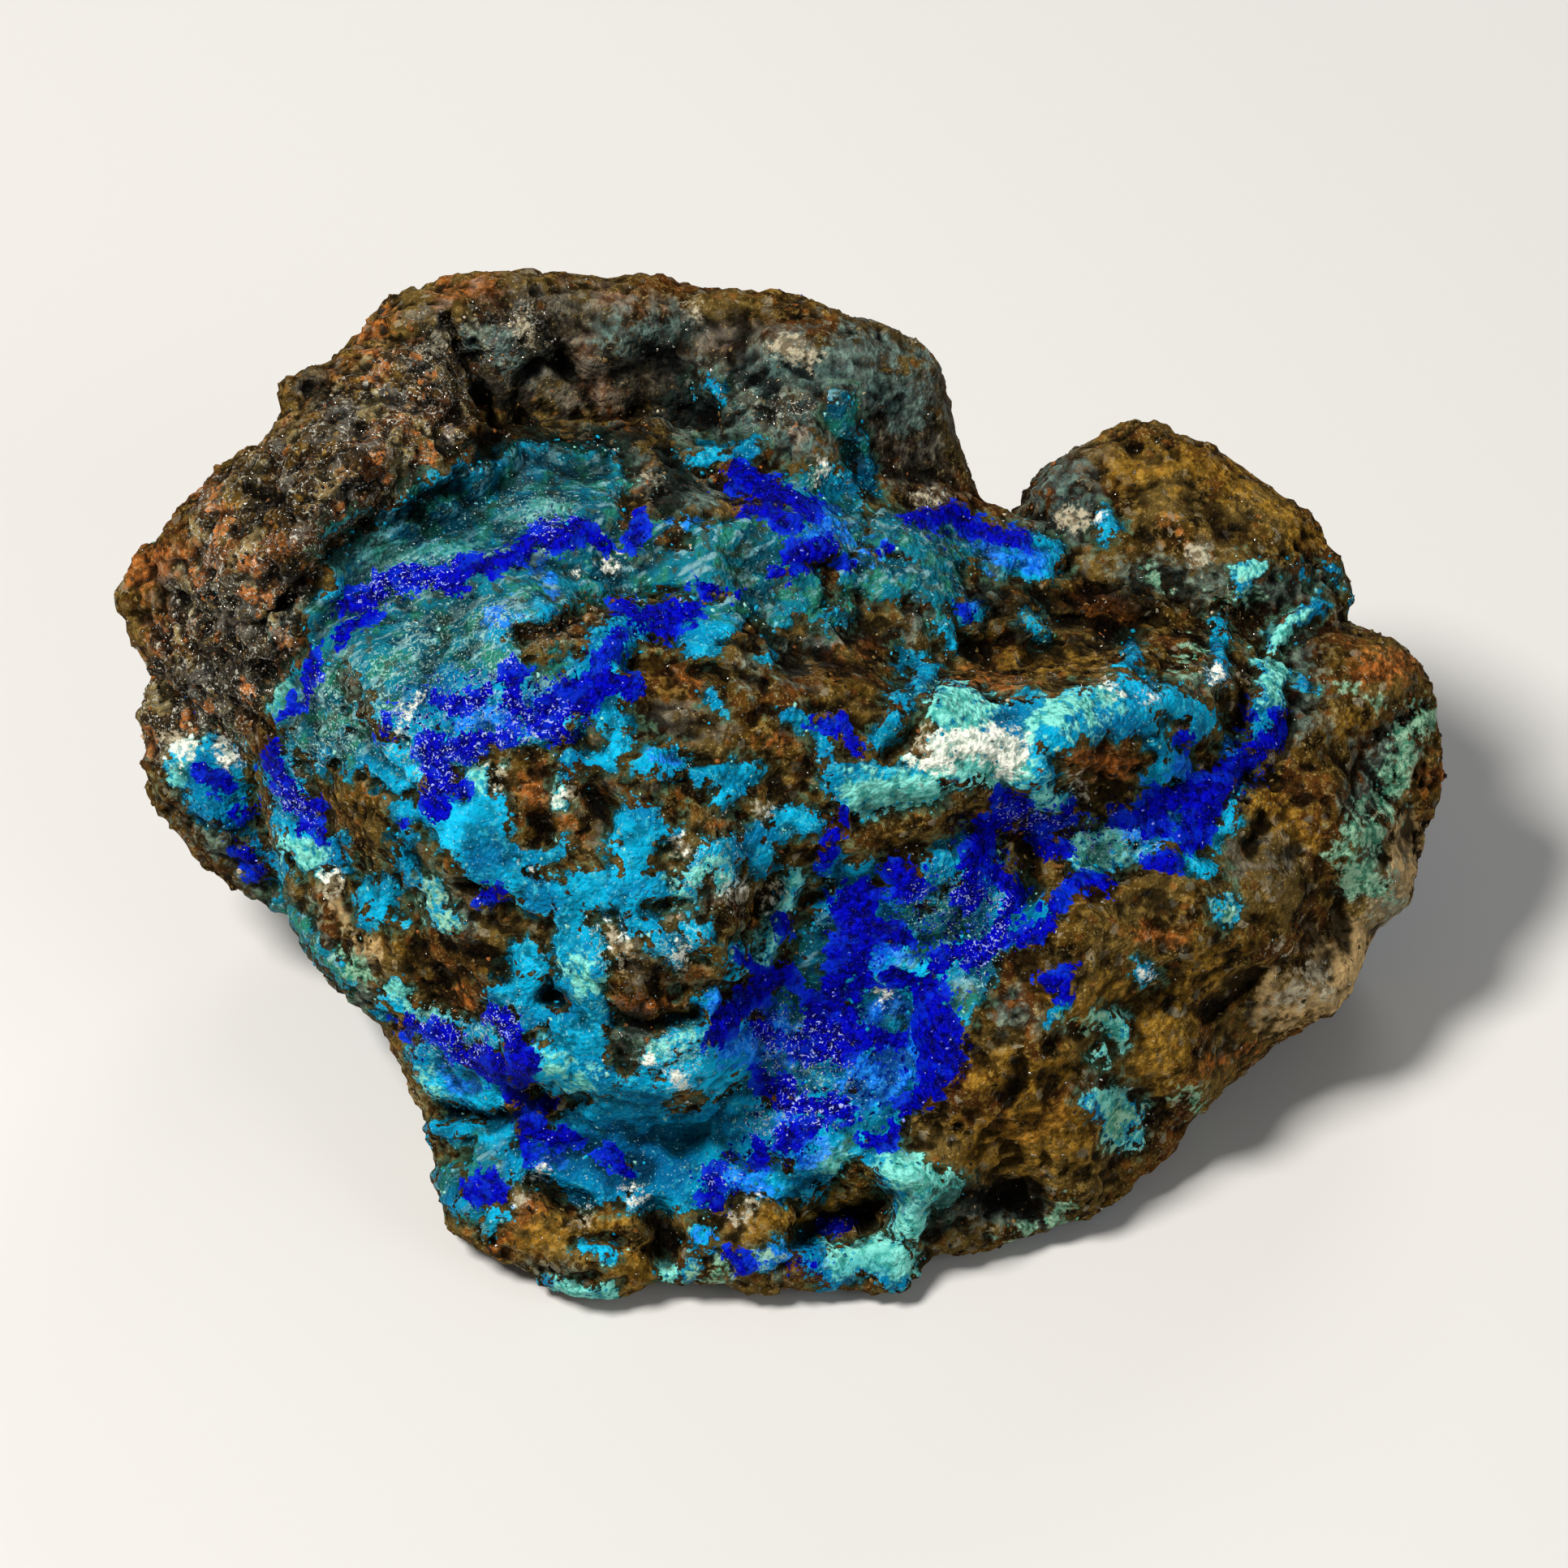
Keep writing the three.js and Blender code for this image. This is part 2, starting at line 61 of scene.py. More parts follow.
# Hollows and rises of the showing side: height, half width, and points across and up it.
RELIEF = (
    # under the hood, and the recess in front of the back wall
    (0.7, 0.9, (-18.6, 6.2), (-17.8, 7.2), (-17.0, 7.4)),
    (0.3, 0.6, (-17.4, 8.2), (-16.4, 9.0), (-15.4, 9.9), (-13.8, 10.9), (-12.2, 12.0)),
    (-0.7, 0.3, (-12.5, 17.4), (-11.9, 15.9), (-11.0, 14.0), (-10.6, 13.0)),
    (0.5, 0.6, (-18.4, 14.2), (-17.6, 14.0)),
    (-0.6, 0.3, (-17.7, 14.9)),
    (0.5, 0.7, (-20.4, 8.6), (-19.0, 8.8)),
    (-0.5, 0.5, (-18.8, 10.4), (-19.6, 10.9)),
    (0.4, 0.6, (-16.4, 12.2), (-15.0, 12.6)),
    (-0.5, 0.4, (-8.4, 16.2), (-8.1, 15.4)),
    (-0.6, 0.35, (2.3, 12.6), (2.8, 11.7), (3.2, 11.0)),
    (0.5, 0.7, (-0.4, 16.3), (1.0, 16.6)),
    # the crevice
    (-0.8, 0.5, (6.4, 5.3), (7.3, 4.9), (8.2, 5.3)),
    (-0.8, 0.5, (9.2, 5.0), (10.2, 5.0)),
    (-0.9, 0.6, (9.8, 6.3), (10.8, 6.2)),
    (-0.9, 0.5, (11.8, 6.1), (12.8, 5.6), (13.8, 6.1)),
    (-0.6, 0.4, (8.7, 7.7), (9.7, 7.1)),
    (-0.6, 0.4, (1.4, 4.7), (2.4, 4.2)),
    (-0.6, 0.35, (-3.2, 4.2), (-1.8, 4.1), (-0.9, 3.7)),
    (-0.5, 0.4, (-1.2, 2.4), (-0.6, 2.7)),
    (-0.6, 0.4, (-5.6, 4.4), (-4.4, 4.3), (-4.1, 3.9)),
    (-0.6, 0.35, (-10.0, 5.6), (-8.8, 5.8), (-7.6, 6.4)),
    (0.5, 0.8, (2.7, 4.6), (3.6, 4.0)),
    (0.4, 0.7, (0.2, 3.6), (1.0, 4.0)),
    (-0.5, 0.4, (3.9, 1.2), (4.6, 1.6), (4.9, 2.6)),
    # windows and pits of the mottled bulge
    (-0.8, 0.55, (-7.2, -0.3), (-6.7, -1.0)),
    (-0.6, 0.5, (-9.1, -1.3), (-8.8, -1.8)),
    (-0.5, 0.4, (-7.6, 1.7), (-7.1, 1.2)),
    (-0.6, 0.35, (-4.1, 1.0), (-3.1, 0.8)),
    (-0.6, 0.5, (-12.4, -6.0), (-11.3, -6.4), (-10.4, -6.9)),
    (-0.5, 0.4, (-12.5, -7.1), (-12.0, -7.2)),
    (-0.5, 0.35, (-12.0, -3.7), (-11.2, -3.9), (-10.3, -4.4)),
    (-0.5, 0.35, (-14.6, -1.8), (-13.6, -3.0)),
    (-0.8, 0.4, (-8.9, -7.9), (-8.2, -8.1)),
    (-0.8, 0.4, (-6.2, -8.8), (-4.6, -8.9), (-3.3, -8.7)),
    (-0.5, 0.3, (0.6, -4.2), (1.4, -4.2)),
    (-0.5, 0.35, (-5.2, -4.6), (-4.3, -4.6)),
    (-0.5, 0.35, (-3.6, -6.2), (-2.9, -6.5)),
    (-0.4, 0.35, (-1.8, -1.1), (-1.4, -1.4)),
    # the hollow under the bulge, and the lip
    (-1.2, 0.6, (-9.9, -11.4), (-9.0, -11.6)),
    (-1.2, 0.5, (-12.6, -12.2), (-11.6, -12.3), (-10.8, -12.5)),
    (-0.9, 0.8, (-8.6, -11.7), (-7.2, -11.8), (-5.8, -12.1), (-4.6, -12.6), (-3.7, -13.1)),
    (-1.0, 0.5, (-9.1, -15.0), (-8.6, -15.6), (-7.6, -15.8)),
    (-1.4, 0.7, (-4.8, -16.2), (-4.3, -17.0), (-4.6, -17.6)),
    (-1.4, 0.6, (0.7, -16.8), (1.8, -16.4), (2.9, -16.3), (3.6, -15.7)),
    (-0.5, 0.3, (-7.8, -17.0), (-6.6, -16.9), (-5.2, -17.4)),
    (0.6, 0.6, (3.8, -14.2), (5.2, -14.9), (4.7, -16.3)),
    (0.4, 0.8, (-8.0, -18.1), (-6.0, -18.1)),
    # the valley's banks
    (0.7, 0.7, (2.4, -2.4), (4.2, -1.7), (6.0, -1.1), (7.7, -0.4)),
    (0.5, 0.8, (5.6, 1.3), (7.6, 1.5), (10.0, 2.0), (13.0, 2.6)),
    (0.6, 0.8, (11.2, 0.9), (12.8, 0.8)),
    (0.4, 0.4, (0.5, -3.2), (-0.2, -5.2), (-1.2, -7.0)),
    (-0.8, 0.5, (9.1, -2.4), (9.3, -4.0)),
    (-0.9, 0.5, (16.3, 3.1), (16.9, 2.2), (17.0, 3.4)),
    (-0.5, 0.35, (17.1, 0.4), (17.5, 0.1)),
    # the right flank
    (-0.8, 0.5, (8.8, -10.8), (8.4, -11.6), (7.2, -12.1)),
    (-0.5, 0.35, (9.8, -9.7), (11.1, -9.0)),
    (-1.0, 0.8, (8.0, -15.4), (9.2, -15.8)),
    (-0.5, 0.3, (17.8, -1.4), (17.4, -2.5)),
    (-0.6, 0.4, (15.8, -8.5), (16.7, -7.8), (18.6, -6.5)),
    (-0.4, 0.4, (20.6, -4.3), (20.9, -6.0)),
    (-0.4, 0.3, (21.9, -2.1), (22.4, -2.9)),
    (-0.5, 0.35, (12.5, 12.9), (12.9, 12.6)),
    (-0.4, 0.35, (18.6, 1.4), (18.9, 2.6)),
    (0.6, 1.0, (18.6, -7.8), (20.4, -7.9)),
    (0.4, 0.8, (11.0, -5.4), (13.0, -5.6)),
)

FILLINGS = (  # lumps of ore at the recess and the hood's edge: middle across, up, out, and radii
    (-9.0, 14.7, -4.4, 2.6, 1.7, 2.7),
    (-6.6, 14.6, -4.9, 2.8, 1.7, 2.9),
    (-4.0, 14.6, -4.9, 2.6, 1.7, 2.8),
    (-11.0, 13.6, -2.8, 1.0, 1.0, 2.2),
    (-17.5, 14.2, 1.0, 1.1, 1.1, 1.5),
    (-17.2, 7.6, 4.3, 1.5, 1.2, 1.0),
    (-16.0, 8.5, 4.0, 1.7, 1.3, 1.1),
    (-14.7, 9.5, 3.6, 1.7, 1.4, 1.3),
    (-13.4, 10.4, 3.1, 1.7, 1.4, 1.4),
    (-12.0, 11.3, 2.5, 1.6, 1.4, 1.4),
    (-11.0, 11.9, 1.9, 1.3, 1.2, 1.2),
    (-14.6, 10.9, 4.6, 1.3, 0.9, 1.1),
    (-13.2, 11.6, 4.0, 1.3, 0.9, 1.2),
    (-12.0, 12.4, 3.2, 1.2, 0.9, 1.3),
)
CALM = (  # where the ore broke flatter than elsewhere
    (3.4, (11.0, -7.0), (14.6, -8.6), (17.4, -5.0), (20.4, -4.0)),
    (2.2, (9.4, -11.0), (13.0, -12.0)),
    (1.6, (3.0, -2.2), (6.6, -1.0)),
    (1.8, (-4.6, 2.4), (-2.4, 1.8), (0.6, 3.4), (3.2, 4.2)),
    (2.6, (1.6, 14.6), (5.0, 12.6)),
    (2.0, (-8.6, 16.4), (-4.0, 16.6), (-0.4, 15.8)),
    (1.6, (-15.6, 8.6), (-11.0, 10.4), (-8.6, 11.4)),
    (2.2, (13.0, 9.6), (17.0, 10.4)),
    (1.6, (21.8, 4.4), (20.4, 1.4)),
    (1.4, (-9.4, -13.6), (-6.0, -13.4), (-3.0, -14.0)),
    (1.4, (6.0, 2.0), (9.0, 2.0), (12.4, 2.6)),
)

SLOPES = np.random.default_rng(7).uniform(-1, 1, (4096, 3)).astype(np.float32)


def draws(cells, step, seed):
    """Three numbers from -1 to 1 for each whole-number cell moved by step. Its coordinates,
    times large odd numbers, are added and stirred, and the top bits pick a row of SLOPES."""
    moved = cells + np.array(step, np.uint32)
    stirred = moved @ np.array([0x8DA6B343, 0xD8163841, 0xCB1AB31F], np.uint32)
    stirred = stirred + np.uint32(seed * 7919 + 17)
    stirred = (stirred ^ (stirred >> np.uint32(15))) * np.uint32(0x2C1B3C6D)
    stirred = (stirred ^ (stirred >> np.uint32(12))) * np.uint32(0x297A2D39)
    return SLOPES[stirred >> np.uint32(20)]


def lumps(points, size, seed):
    """Smooth noise from about -1 to 1. At each corner of a grid of cubes a random slope rises
    away from the corner; the eight slopes round a point blend by 6t^5 - 15t^4 + 10t^3."""
    scaled = points.astype(np.float32) / np.float32(size) + 512
    cells = scaled.astype(np.uint32)
    t = scaled - cells.astype(np.float32)
    fade = t * t * t * (t * (t * 6 - 15) + 10)
    total = np.zeros(len(points), np.float32)
    for corner in product((0, 1), repeat=3):
        share = np.where(corner, fade, 1 - fade)
        slope = ((t - np.array(corner, np.float32)) * draws(cells, corner, seed)).sum(axis=1)
        total += share[:, 0] * share[:, 1] * share[:, 2] * slope
    return 1.8 * total


def rough(points, size, seed, octaves=4, gain=0.5):
    """Lumps on lumps: each octave is half as wide and `gain` times as high as the last."""
    return sum(gain**i * lumps(points, size / 2**i, seed + i) for i in range(octaves))


def shards(points, size, seed):
    """Height of a chipped surface, about -1 to 1. One seed point lies in each cube of a grid,
    and a point takes the tilted plane of the seed nearest to it, so planes meet at edges."""
    scaled = points.astype(np.float32) / np.float32(size) + 512
    cells = scaled.astype(np.uint32)
    within = scaled - cells.astype(np.float32) - 0.5
    nearest = np.full(len(points), 9.0, np.float32)
    height = np.zeros(len(points), np.float32)
    for step in product((-1, 0, 1), repeat=3):
        own = draws(cells - 1, np.array(step) + 1, seed)
        away = within - np.array(step, np.float32) - 0.45 * own
        distance = (away * away).sum(axis=1)
        plane = (away * own[:, [1, 2, 0]]).sum(axis=1) + 0.35 * own[:, 0]
        height = np.where(distance < nearest, plane, height)
        nearest = np.minimum(nearest, distance)
    return height


def rising(x, low, high):
    """0 below low, 1 above high, and 3t^2 - 2t^3 in between."""
    t = np.clip((x - low) / (high - low), 0, 1)
    return t * t * (3 - 2 * t)


def away_from_line(side, line):
    """Distance of each point of the showing side from a line of straight stretches."""
    points = np.array(line, np.float32)
    if len(points) == 1:
        return np.hypot(*(side - points[0]).T)
    nearest = np.full(len(side), 99.0, np.float32)
    for start, end in zip(points[:-1], points[1:]):
        along = end - start
        share = np.clip((side - start) @ along / (along @ along), 0, 1)
        nearest = np.minimum(nearest, np.hypot(*(side - start - share[:, None] * along).T))
    return nearest


def depth_inside(side, strokes):
    """How deep each point lies inside the nearest stroke, in millimetres, and below 0 outside
    all of them. A stroke is its half width and the points of its middle line."""
    deepest = np.full(len(side), -FARTHEST, np.float32)
    for half_width, *line in strokes:
        reach = half_width + FARTHEST
        low, high = np.min(line, axis=0) - reach, np.max(line, axis=0) + reach
        near = np.flatnonzero(((side > low) & (side < high)).all(axis=1))
        deepest[near] = np.maximum(deepest[near], half_width - away_from_line(side[near], line))
    return deepest


def seen_side(points):
    """Where points in metres lie across and up the showing side, in millimetres: each is moved
    along its line from the eye to the sight plane, which scales its two distances."""
    from_middle = points / MM - MIDDLE
    scale = (EYE - SIGHT_PLANE) / (EYE - from_middle @ OUT_OF_SIDE)
    side = np.stack([from_middle @ ACROSS, from_middle @ UP_SIDE], axis=1)
    return (side * scale[:, None]).astype(np.float32)


def vertex_array(mesh):
    values = np.empty(len(mesh.vertices) * 3, np.float32)
    mesh.attributes["position"].data.foreach_get("vector", values)
    return values.reshape(-1, 3)


def vertex_normals(mesh):
    values = np.empty(len(mesh.vertices) * 3, np.float32)
    mesh.vertex_normals.foreach_get("vector", values)
    return values.reshape(-1, 3)


def place_vertices(mesh, points):
    mesh.attributes["position"].data.foreach_set("vector", points.astype(np.float32).ravel())
    mesh.update()


def with_modifier(mesh, kind, **settings):
    """The mesh after one modifier, applied."""
    holder = bpy.data.objects.new("holder", mesh)
    bpy.context.scene.collection.objects.link(holder)
    modifier = holder.modifiers.new("step", kind)
    for key, value in settings.items():
        setattr(modifier, key, value)
    bpy.context.view_layer.update()
    depsgraph = bpy.context.evaluated_depsgraph_get()
    finished = bpy.data.meshes.new_from_object(holder.evaluated_get(depsgraph))
    bpy.data.objects.remove(holder)
    return finished


def edge_ends(mesh):
    ends = np.empty(len(mesh.edges) * 2, np.int32)
    mesh.edges.foreach_get("vertices", ends)
    return ends.reshape(-1, 2).T


def evened(points, mesh, rounds):
    """Each point moves halfway to the mean of its neighbours, once for each round."""
    first, second = edge_ends(mesh)
    count = np.bincount(np.append(first, second), minlength=len(points))[:, None]
    for _ in range(rounds):
        total = np.zeros_like(points, dtype=np.float64)
        for axis in range(3):
            total[:, axis] += np.bincount(first, points[second, axis], len(points))
            total[:, axis] += np.bincount(second, points[first, axis], len(points))
        points = 0.5 * points + 0.5 * total / count
    return points


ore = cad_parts["ore_stone"].data.copy()
ore.materials.clear()
welded = bmesh.new()
welded.from_mesh(ore)
bmesh.ops.remove_doubles(welded, verts=welded.verts, dist=WELD)
for across, up, out, *radii in FILLINGS:
    middle = MIDDLE + across * ACROSS + up * UP_SIDE + out * OUT_OF_SIDE
    lump = bmesh.ops.create_icosphere(welded, subdivisions=3, radius=1)["verts"]
    for vertex in lump:
        reach = sum(c * r * axis for c, r, axis in zip(vertex.co, radii, SIDE_AXES))
        vertex.co = Vector((middle + reach) * MM)
welded.to_mesh(ore)
welded.free()
ore = with_modifier(ore, "REMESH", mode="VOXEL", voxel_size=FINE_CELL)
form = evened(vertex_array(ore), ore, 3)
on_floor = vertex_array(ore)[:, 2] < 0.5 * FINE_CELL
form[:, 2] = np.where(on_floor, 0.0, form[:, 2])
place_vertices(ore, form)

# --- Chrysocolla crust --------------------------------------------------------------------
# A skin of turquoise copper silicate, 0.2 to 0.3 mm thick, waxy and rounded. It set last over
# the ore in pools and seams, and the ore shows through it in windows.

TURQUOISE = (
    # teal slope from the left edge to the notch
    (1.9, (-16.0, 5.6), (-14.2, 7.6), (-11.0, 9.0), (-8.0, 9.6)),
    (1.3, (-17.4, 3.4), (-15.0, 3.6), (-12.0, 5.6), (-10.0, 6.8), (-8.4, 8.0), (-6.0, 8.4)),
    (1.1, (-16.2, 8.6), (-14.4, 9.4), (-12.0, 10.8), (-9.5, 11.6), (-7.0, 11.6)),
    (1.3, (-5.0, 8.6), (-2.5, 8.3), (0.0, 9.2), (1.8, 9.8)),
    (0.9, (-1.6, 7.6), (-0.4, 6.9), (0.6, 7.2)),
    (0.8, (2.8, 8.0), (4.2, 7.6), (5.6, 8.3), (5.8, 7.3)),
    (0.35, (-3.6, 12.2), (-2.4, 12.2), (-1.2, 12.4)),
    (0.7, (0.6, 11.0), (1.8, 11.2), (2.0, 9.8)),
    (0.45, (2.1, 14.4), (2.6, 12.8), (3.1, 11.2)),
    (0.25, (-2.9, 14.9), (-2.4, 14.6)),
    (0.8, (4.0, 9.4), (6.4, 9.2), (8.4, 8.6), (9.6, 8.4)),
    (0.9, (-18.2, 3.0), (-17.6, 1.8), (-16.4, 1.2), (-15.2, 0.8), (-14.4, 0.6)),
    # between the two bands of azurite
    (1.3, (-14.4, 3.2), (-12.8, 3.4), (-11.2, 2.8), (-9.0, 2.8), (-7.0, 3.6)),
    (0.9, (-9.6, 4.6), (-10.6, 4.6), (-11.6, 4.4)),
    (0.7, (-7.4, 4.4), (-6.4, 5.4), (-5.4, 6.2), (-3.6, 6.2)),
    (0.8, (-13.2, 1.4), (-12.2, 1.4), (-11.0, 1.7)),
    # left edge of the bulge
    (0.7, (-18.8, 0.6), (-18.4, -1.0), (-17.9, -2.2), (-16.9, -2.6)),
    (0.4, (-18.9, -4.6), (-17.8, -5.6), (-17.0, -6.4), (-16.3, -7.2)),
    # turquoise of the bulge
    (0.9, (-13.0, -1.6), (-12.0, -1.5), (-11.0, -1.2), (-11.3, -2.6), (-10.6, -3.1)),
    (0.5, (-11.6, 0.0), (-11.4, -0.6)),
    (0.35, (-14.3, -0.9), (-13.6, -1.2)),
    (0.35, (-14.2, -1.8), (-14.2, -2.4), (-14.0, -3.1), (-13.8, -3.5)),
    (0.45, (-15.6, -4.1), (-15.1, -3.8), (-15.0, -4.4), (-15.3, -4.9)),
    (0.3, (-15.7, -5.2), (-14.9, -5.3), (-14.3, -5.2)),
    (0.4, (-13.4, -3.8), (-12.9, -4.7), (-12.6, -5.3)),
    (0.35, (-9.7, -2.8), (-8.8, -2.7), (-7.9, -2.4)),
    (0.6, (-10.2, -3.6), (-9.6, -3.9), (-9.2, -4.3), (-8.5, -4.2)),
    (0.5, (-8.2, -4.6), (-8.0, -5.2), (-7.6, -4.0), (-7.2, -3.3)),
    (0.65, (-6.2, -3.2), (-5.6, -2.8), (-5.3, -2.0), (-5.7, -1.5), (-4.7, -1.6)),
    (0.6, (-5.5, -3.6), (-4.7, -3.9), (-6.7, -4.0), (-7.3, -4.2)),
    (0.4, (-5.8, -4.7), (-5.5, -5.2), (-5.0, -5.6), (-4.6, -6.1), (-4.3, -6.6)),
    (0.9, (-7.8, -6.0), (-7.5, -6.9), (-7.5, -7.8), (-7.9, -8.8), (-7.6, -9.8), (-7.8, -10.6)),
    (0.55, (-9.7, -6.4), (-9.4, -7.0), (-9.3, -7.6), (-10.6, -7.9)),
    (0.55, (-9.9, -8.2), (-9.9, -8.7), (-9.2, -8.5)),
    (0.35, (-14.4, -7.4), (-14.3, -7.9)),
    (0.35, (-14.8, -8.2), (-13.7, -8.6), (-12.8, -8.8), (-12.1, -9.1)),
    (0.5, (-11.5, -9.3), (-10.8, -9.5)),
    (0.9, (-13.0, -10.3), (-12.6, -10.9), (-11.8, -11.3), (-11.0, -11.5)),
    (0.6, (-9.0, -10.3), (-8.5, -10.9), (-7.6, -10.9), (-6.9, -11.0)),
    (0.5, (-7.0, -9.8), (-6.9, -9.0)),
    (0.5, (-5.0, -10.2), (-4.2, -9.8), (-3.5, -9.2), (-3.3, -8.5), (-2.8, -8.1)),
    (0.6, (-5.6, -11.2), (-4.8, -11.6), (-3.0, -10.2), (-2.4, -11.0)),
    (0.6, (-2.7, -2.5), (-1.9, -2.4), (-1.1, -2.1), (-1.1, -2.8)),
    (0.4, (-3.1, -2.8), (-3.3, -3.4), (-3.8, -4.1)),
    (0.4, (-2.4, -3.1), (-2.2, -3.5)),
    (0.45, (-3.6, -5.2), (-3.3, -5.9), (-2.3, -5.6)),
    (0.35, (-2.2, -6.2), (-1.6, -6.4), (-1.9, -7.0)),
    (0.4, (-0.4, -1.6), (0.3, -1.2), (1.3, -1.4)),
    (0.3, (-8.0, 0.9), (-7.2, 0.8), (-6.5, 0.7), (-6.2, 1.4), (-6.1, 2.0), (-6.3, 2.8)),
    (0.4, (-8.0, 0.2), (-8.2, -0.4)),
    (0.3, (-5.6, -0.3), (-5.3, -1.0)),
    (0.6, (-4.9, 0.8), (-4.4, 1.0), (-4.3, 0.7)),
    (0.5, (-3.1, 0.3), (-2.0, 0.4), (-1.4, 0.3), (-2.1, -0.4)),
    (0.7, (-3.3, 5.4), (-2.7, 5.9), (-1.8, 6.6)),
    # seams in the crevice
    (0.3, (1.3, 6.2), (2.3, 6.3)),
    (0.25, (-2.7, 3.3), (-2.4, 3.0)),
    (0.2, (-0.6, 4.7)),
    (0.25, (0.0, 2.7), (0.8, 2.4)),
    (0.3, (1.4, 1.8), (1.5, 1.1)),
    (0.35, (4.4, 4.7), (5.0, 4.6), (5.4, 4.2), (5.0, 3.7)),
    (0.3, (4.3, 3.2), (4.1, 2.6), (3.9, 2.1), (3.6, 1.6)),
    (0.25, (6.2, 5.1), (5.9, 5.9)),
    (0.35, (7.2, 6.3), (6.6, 6.2)),
    (0.3, (9.2, 6.3), (9.7, 5.6)),
    # pale ledge and its foot
    (0.75, (6.2, 3.0), (7.2, 2.6), (6.2, 1.4), (8.0, 1.2), (9.2, 0.8)),
    (0.85, (9.0, 2.5), (10.1, 1.9), (11.0, 2.6), (12.0, 2.7), (12.8, 2.6)),
    (0.8, (6.6, 2.5), (8.0, 2.3), (9.4, 2.4)),
    (0.6, (12.6, 3.4), (13.1, 3.4), (13.4, 2.3)),
    (0.25, (12.9, 4.4), (12.9, 5.1)),
    (0.6, (14.2, 3.1), (15.2, 2.9), (15.5, 2.3)),
    (0.5, (1.9, 0.2), (3.1, 0.2), (4.4, 0.0), (5.4, 0.6), (8.0, 0.3), (9.6, 0.4)),
    (0.55, (2.4, -0.4), (3.4, -0.6), (4.6, -0.5), (5.5, -0.4)),
    (0.35, (13.6, 1.4), (14.2, 1.2), (13.8, 0.3)),
    (0.5, (9.5, -0.5), (10.1, -0.8)),
    (0.65, (11.3, -2.4), (12.2, -2.2)),
    (0.4, (10.9, -2.8), (11.6, -3.1), (12.6, -2.7), (13.4, -2.4)),
    # the blue valley
    (0.3, (0.4, -3.5), (0.1, -4.5), (-0.3, -5.4), (-0.7, -6.2), (-1.1, -6.8)),
    (0.6, (2.0, -3.2), (2.8, -3.3), (1.7, -4.8), (1.8, -5.6)),
    (0.75, (1.3, -6.2), (0.8, -7.3), (0.5, -8.2), (0.0, -9.0)),
    (0.8, (2.6, -5.0), (2.8, -7.0), (3.0, -8.6), (3.8, -8.9), (4.6, -8.8)),
    (0.8, (3.9, -4.7), (4.8, -4.6), (5.9, -4.9), (6.8, -4.9), (5.8, -5.8), (5.0, -5.8)),
    (0.8, (7.2, -2.4), (7.4, -4.4), (8.2, -4.0), (8.2, -5.4), (7.0, -6.4), (6.2, -7.0)),
    (0.5, (6.4, -8.3), (6.9, -7.6), (7.5, -7.1)),
    (0.6, (5.8, -3.0), (6.2, -3.8), (6.2, -4.4)),
    (0.4, (8.4, -5.6), (9.1, -5.1), (9.7, -4.7)),
    (0.8, (3.6, -6.6), (4.6, -6.6), (4.4, -7.6), (3.8, -7.8)),
    (1.0, (-1.8, -9.6), (-0.8, -10.2), (0.6, -10.4), (1.9, -10.4), (2.6, -10.8)),
    (1.0, (3.6, -10.6), (4.8, -10.3), (4.0, -11.4), (3.4, -12.2), (2.4, -13.0)),
    (0.9, (-1.6, -12.0), (-1.4, -13.2), (0.0, -13.0), (1.4, -13.4), (1.0, -12.0)),
    (0.5, (0.6, -14.0), (1.6, -14.4), (1.0, -15.0), (-0.6, -15.0), (-1.8, -14.8)),
    (0.5, (3.3, -13.8), (4.0, -13.0), (4.2, -12.4)),
    (0.8, (13.4, -1.6), (14.4, -1.4), (15.2, -1.2)),
    (0.4, (14.6, 0.9), (15.0, 0.2)),
    (0.35, (16.7, 1.2), (17.2, 1.1)),
    # the hollow and the lip
    (1.1, (-8.6, -13.9), (-7.4, -13.0), (-6.0, -12.9), (-4.6, -13.6), (-3.2, -14.2)),
    (0.9, (-6.0, -12.3), (-4.5, -12.9), (-3.0, -13.2), (-2.0, -12.6)),
    (0.9, (-7.6, -14.8), (-6.0, -14.9), (-4.4, -14.9), (-3.0, -15.0)),
    (0.6, (-10.6, -12.9), (-11.0, -13.8), (-11.2, -14.4), (-10.2, -14.2)),
    (0.3, (-13.0, -12.9), (-11.6, -12.9)),
    (0.4, (-12.6, -14.6), (-12.4, -15.4), (-11.4, -16.0)),
    (0.4, (-10.6, -16.0), (-11.0, -16.5)),
    (0.25, (-8.9, -18.6), (-8.0, -19.0), (-6.6, -19.1)),
    (0.2, (-7.4, -17.2), (-6.5, -17.4)),
    (0.3, (-4.4, -18.2), (-3.5, -18.2)),
    (0.35, (-3.1, -16.7), (-3.0, -17.4)),
    (0.35, (-0.7, -17.8), (0.0, -17.5)),
    (0.5, (0.9, -17.2), (1.2, -18.0), (1.9, -18.2)),
    (0.6, (2.4, -17.8), (3.4, -17.7), (4.2, -17.7), (4.2, -18.4)),
    (0.4, (4.0, -14.1), (3.9, -14.7)),
    (0.65, (4.6, -14.7), (5.6, -15.0), (4.7, -15.6), (4.7, -16.4)),
    (0.35, (6.4, -15.2), (5.8, -15.6)),
    # seams and spots of the right flank
    (0.3, (19.8, 6.6), (18.9, 6.0), (18.4, 5.4), (18.2, 4.8)),
    (0.45, (18.2, 4.2), (18.2, 3.3), (18.0, 2.6), (17.9, 2.1)),
    (0.35, (19.3, 3.7)),
    (0.35, (17.4, 8.0), (17.0, 7.2)),
    (0.12, (18.8, 8.1), (19.6, 8.0)),
    (0.15, (20.3, 7.9)),
    (0.2, (21.3, 7.3), (21.4, 6.7)),
    (0.25, (16.3, 6.2), (16.2, 4.0)),
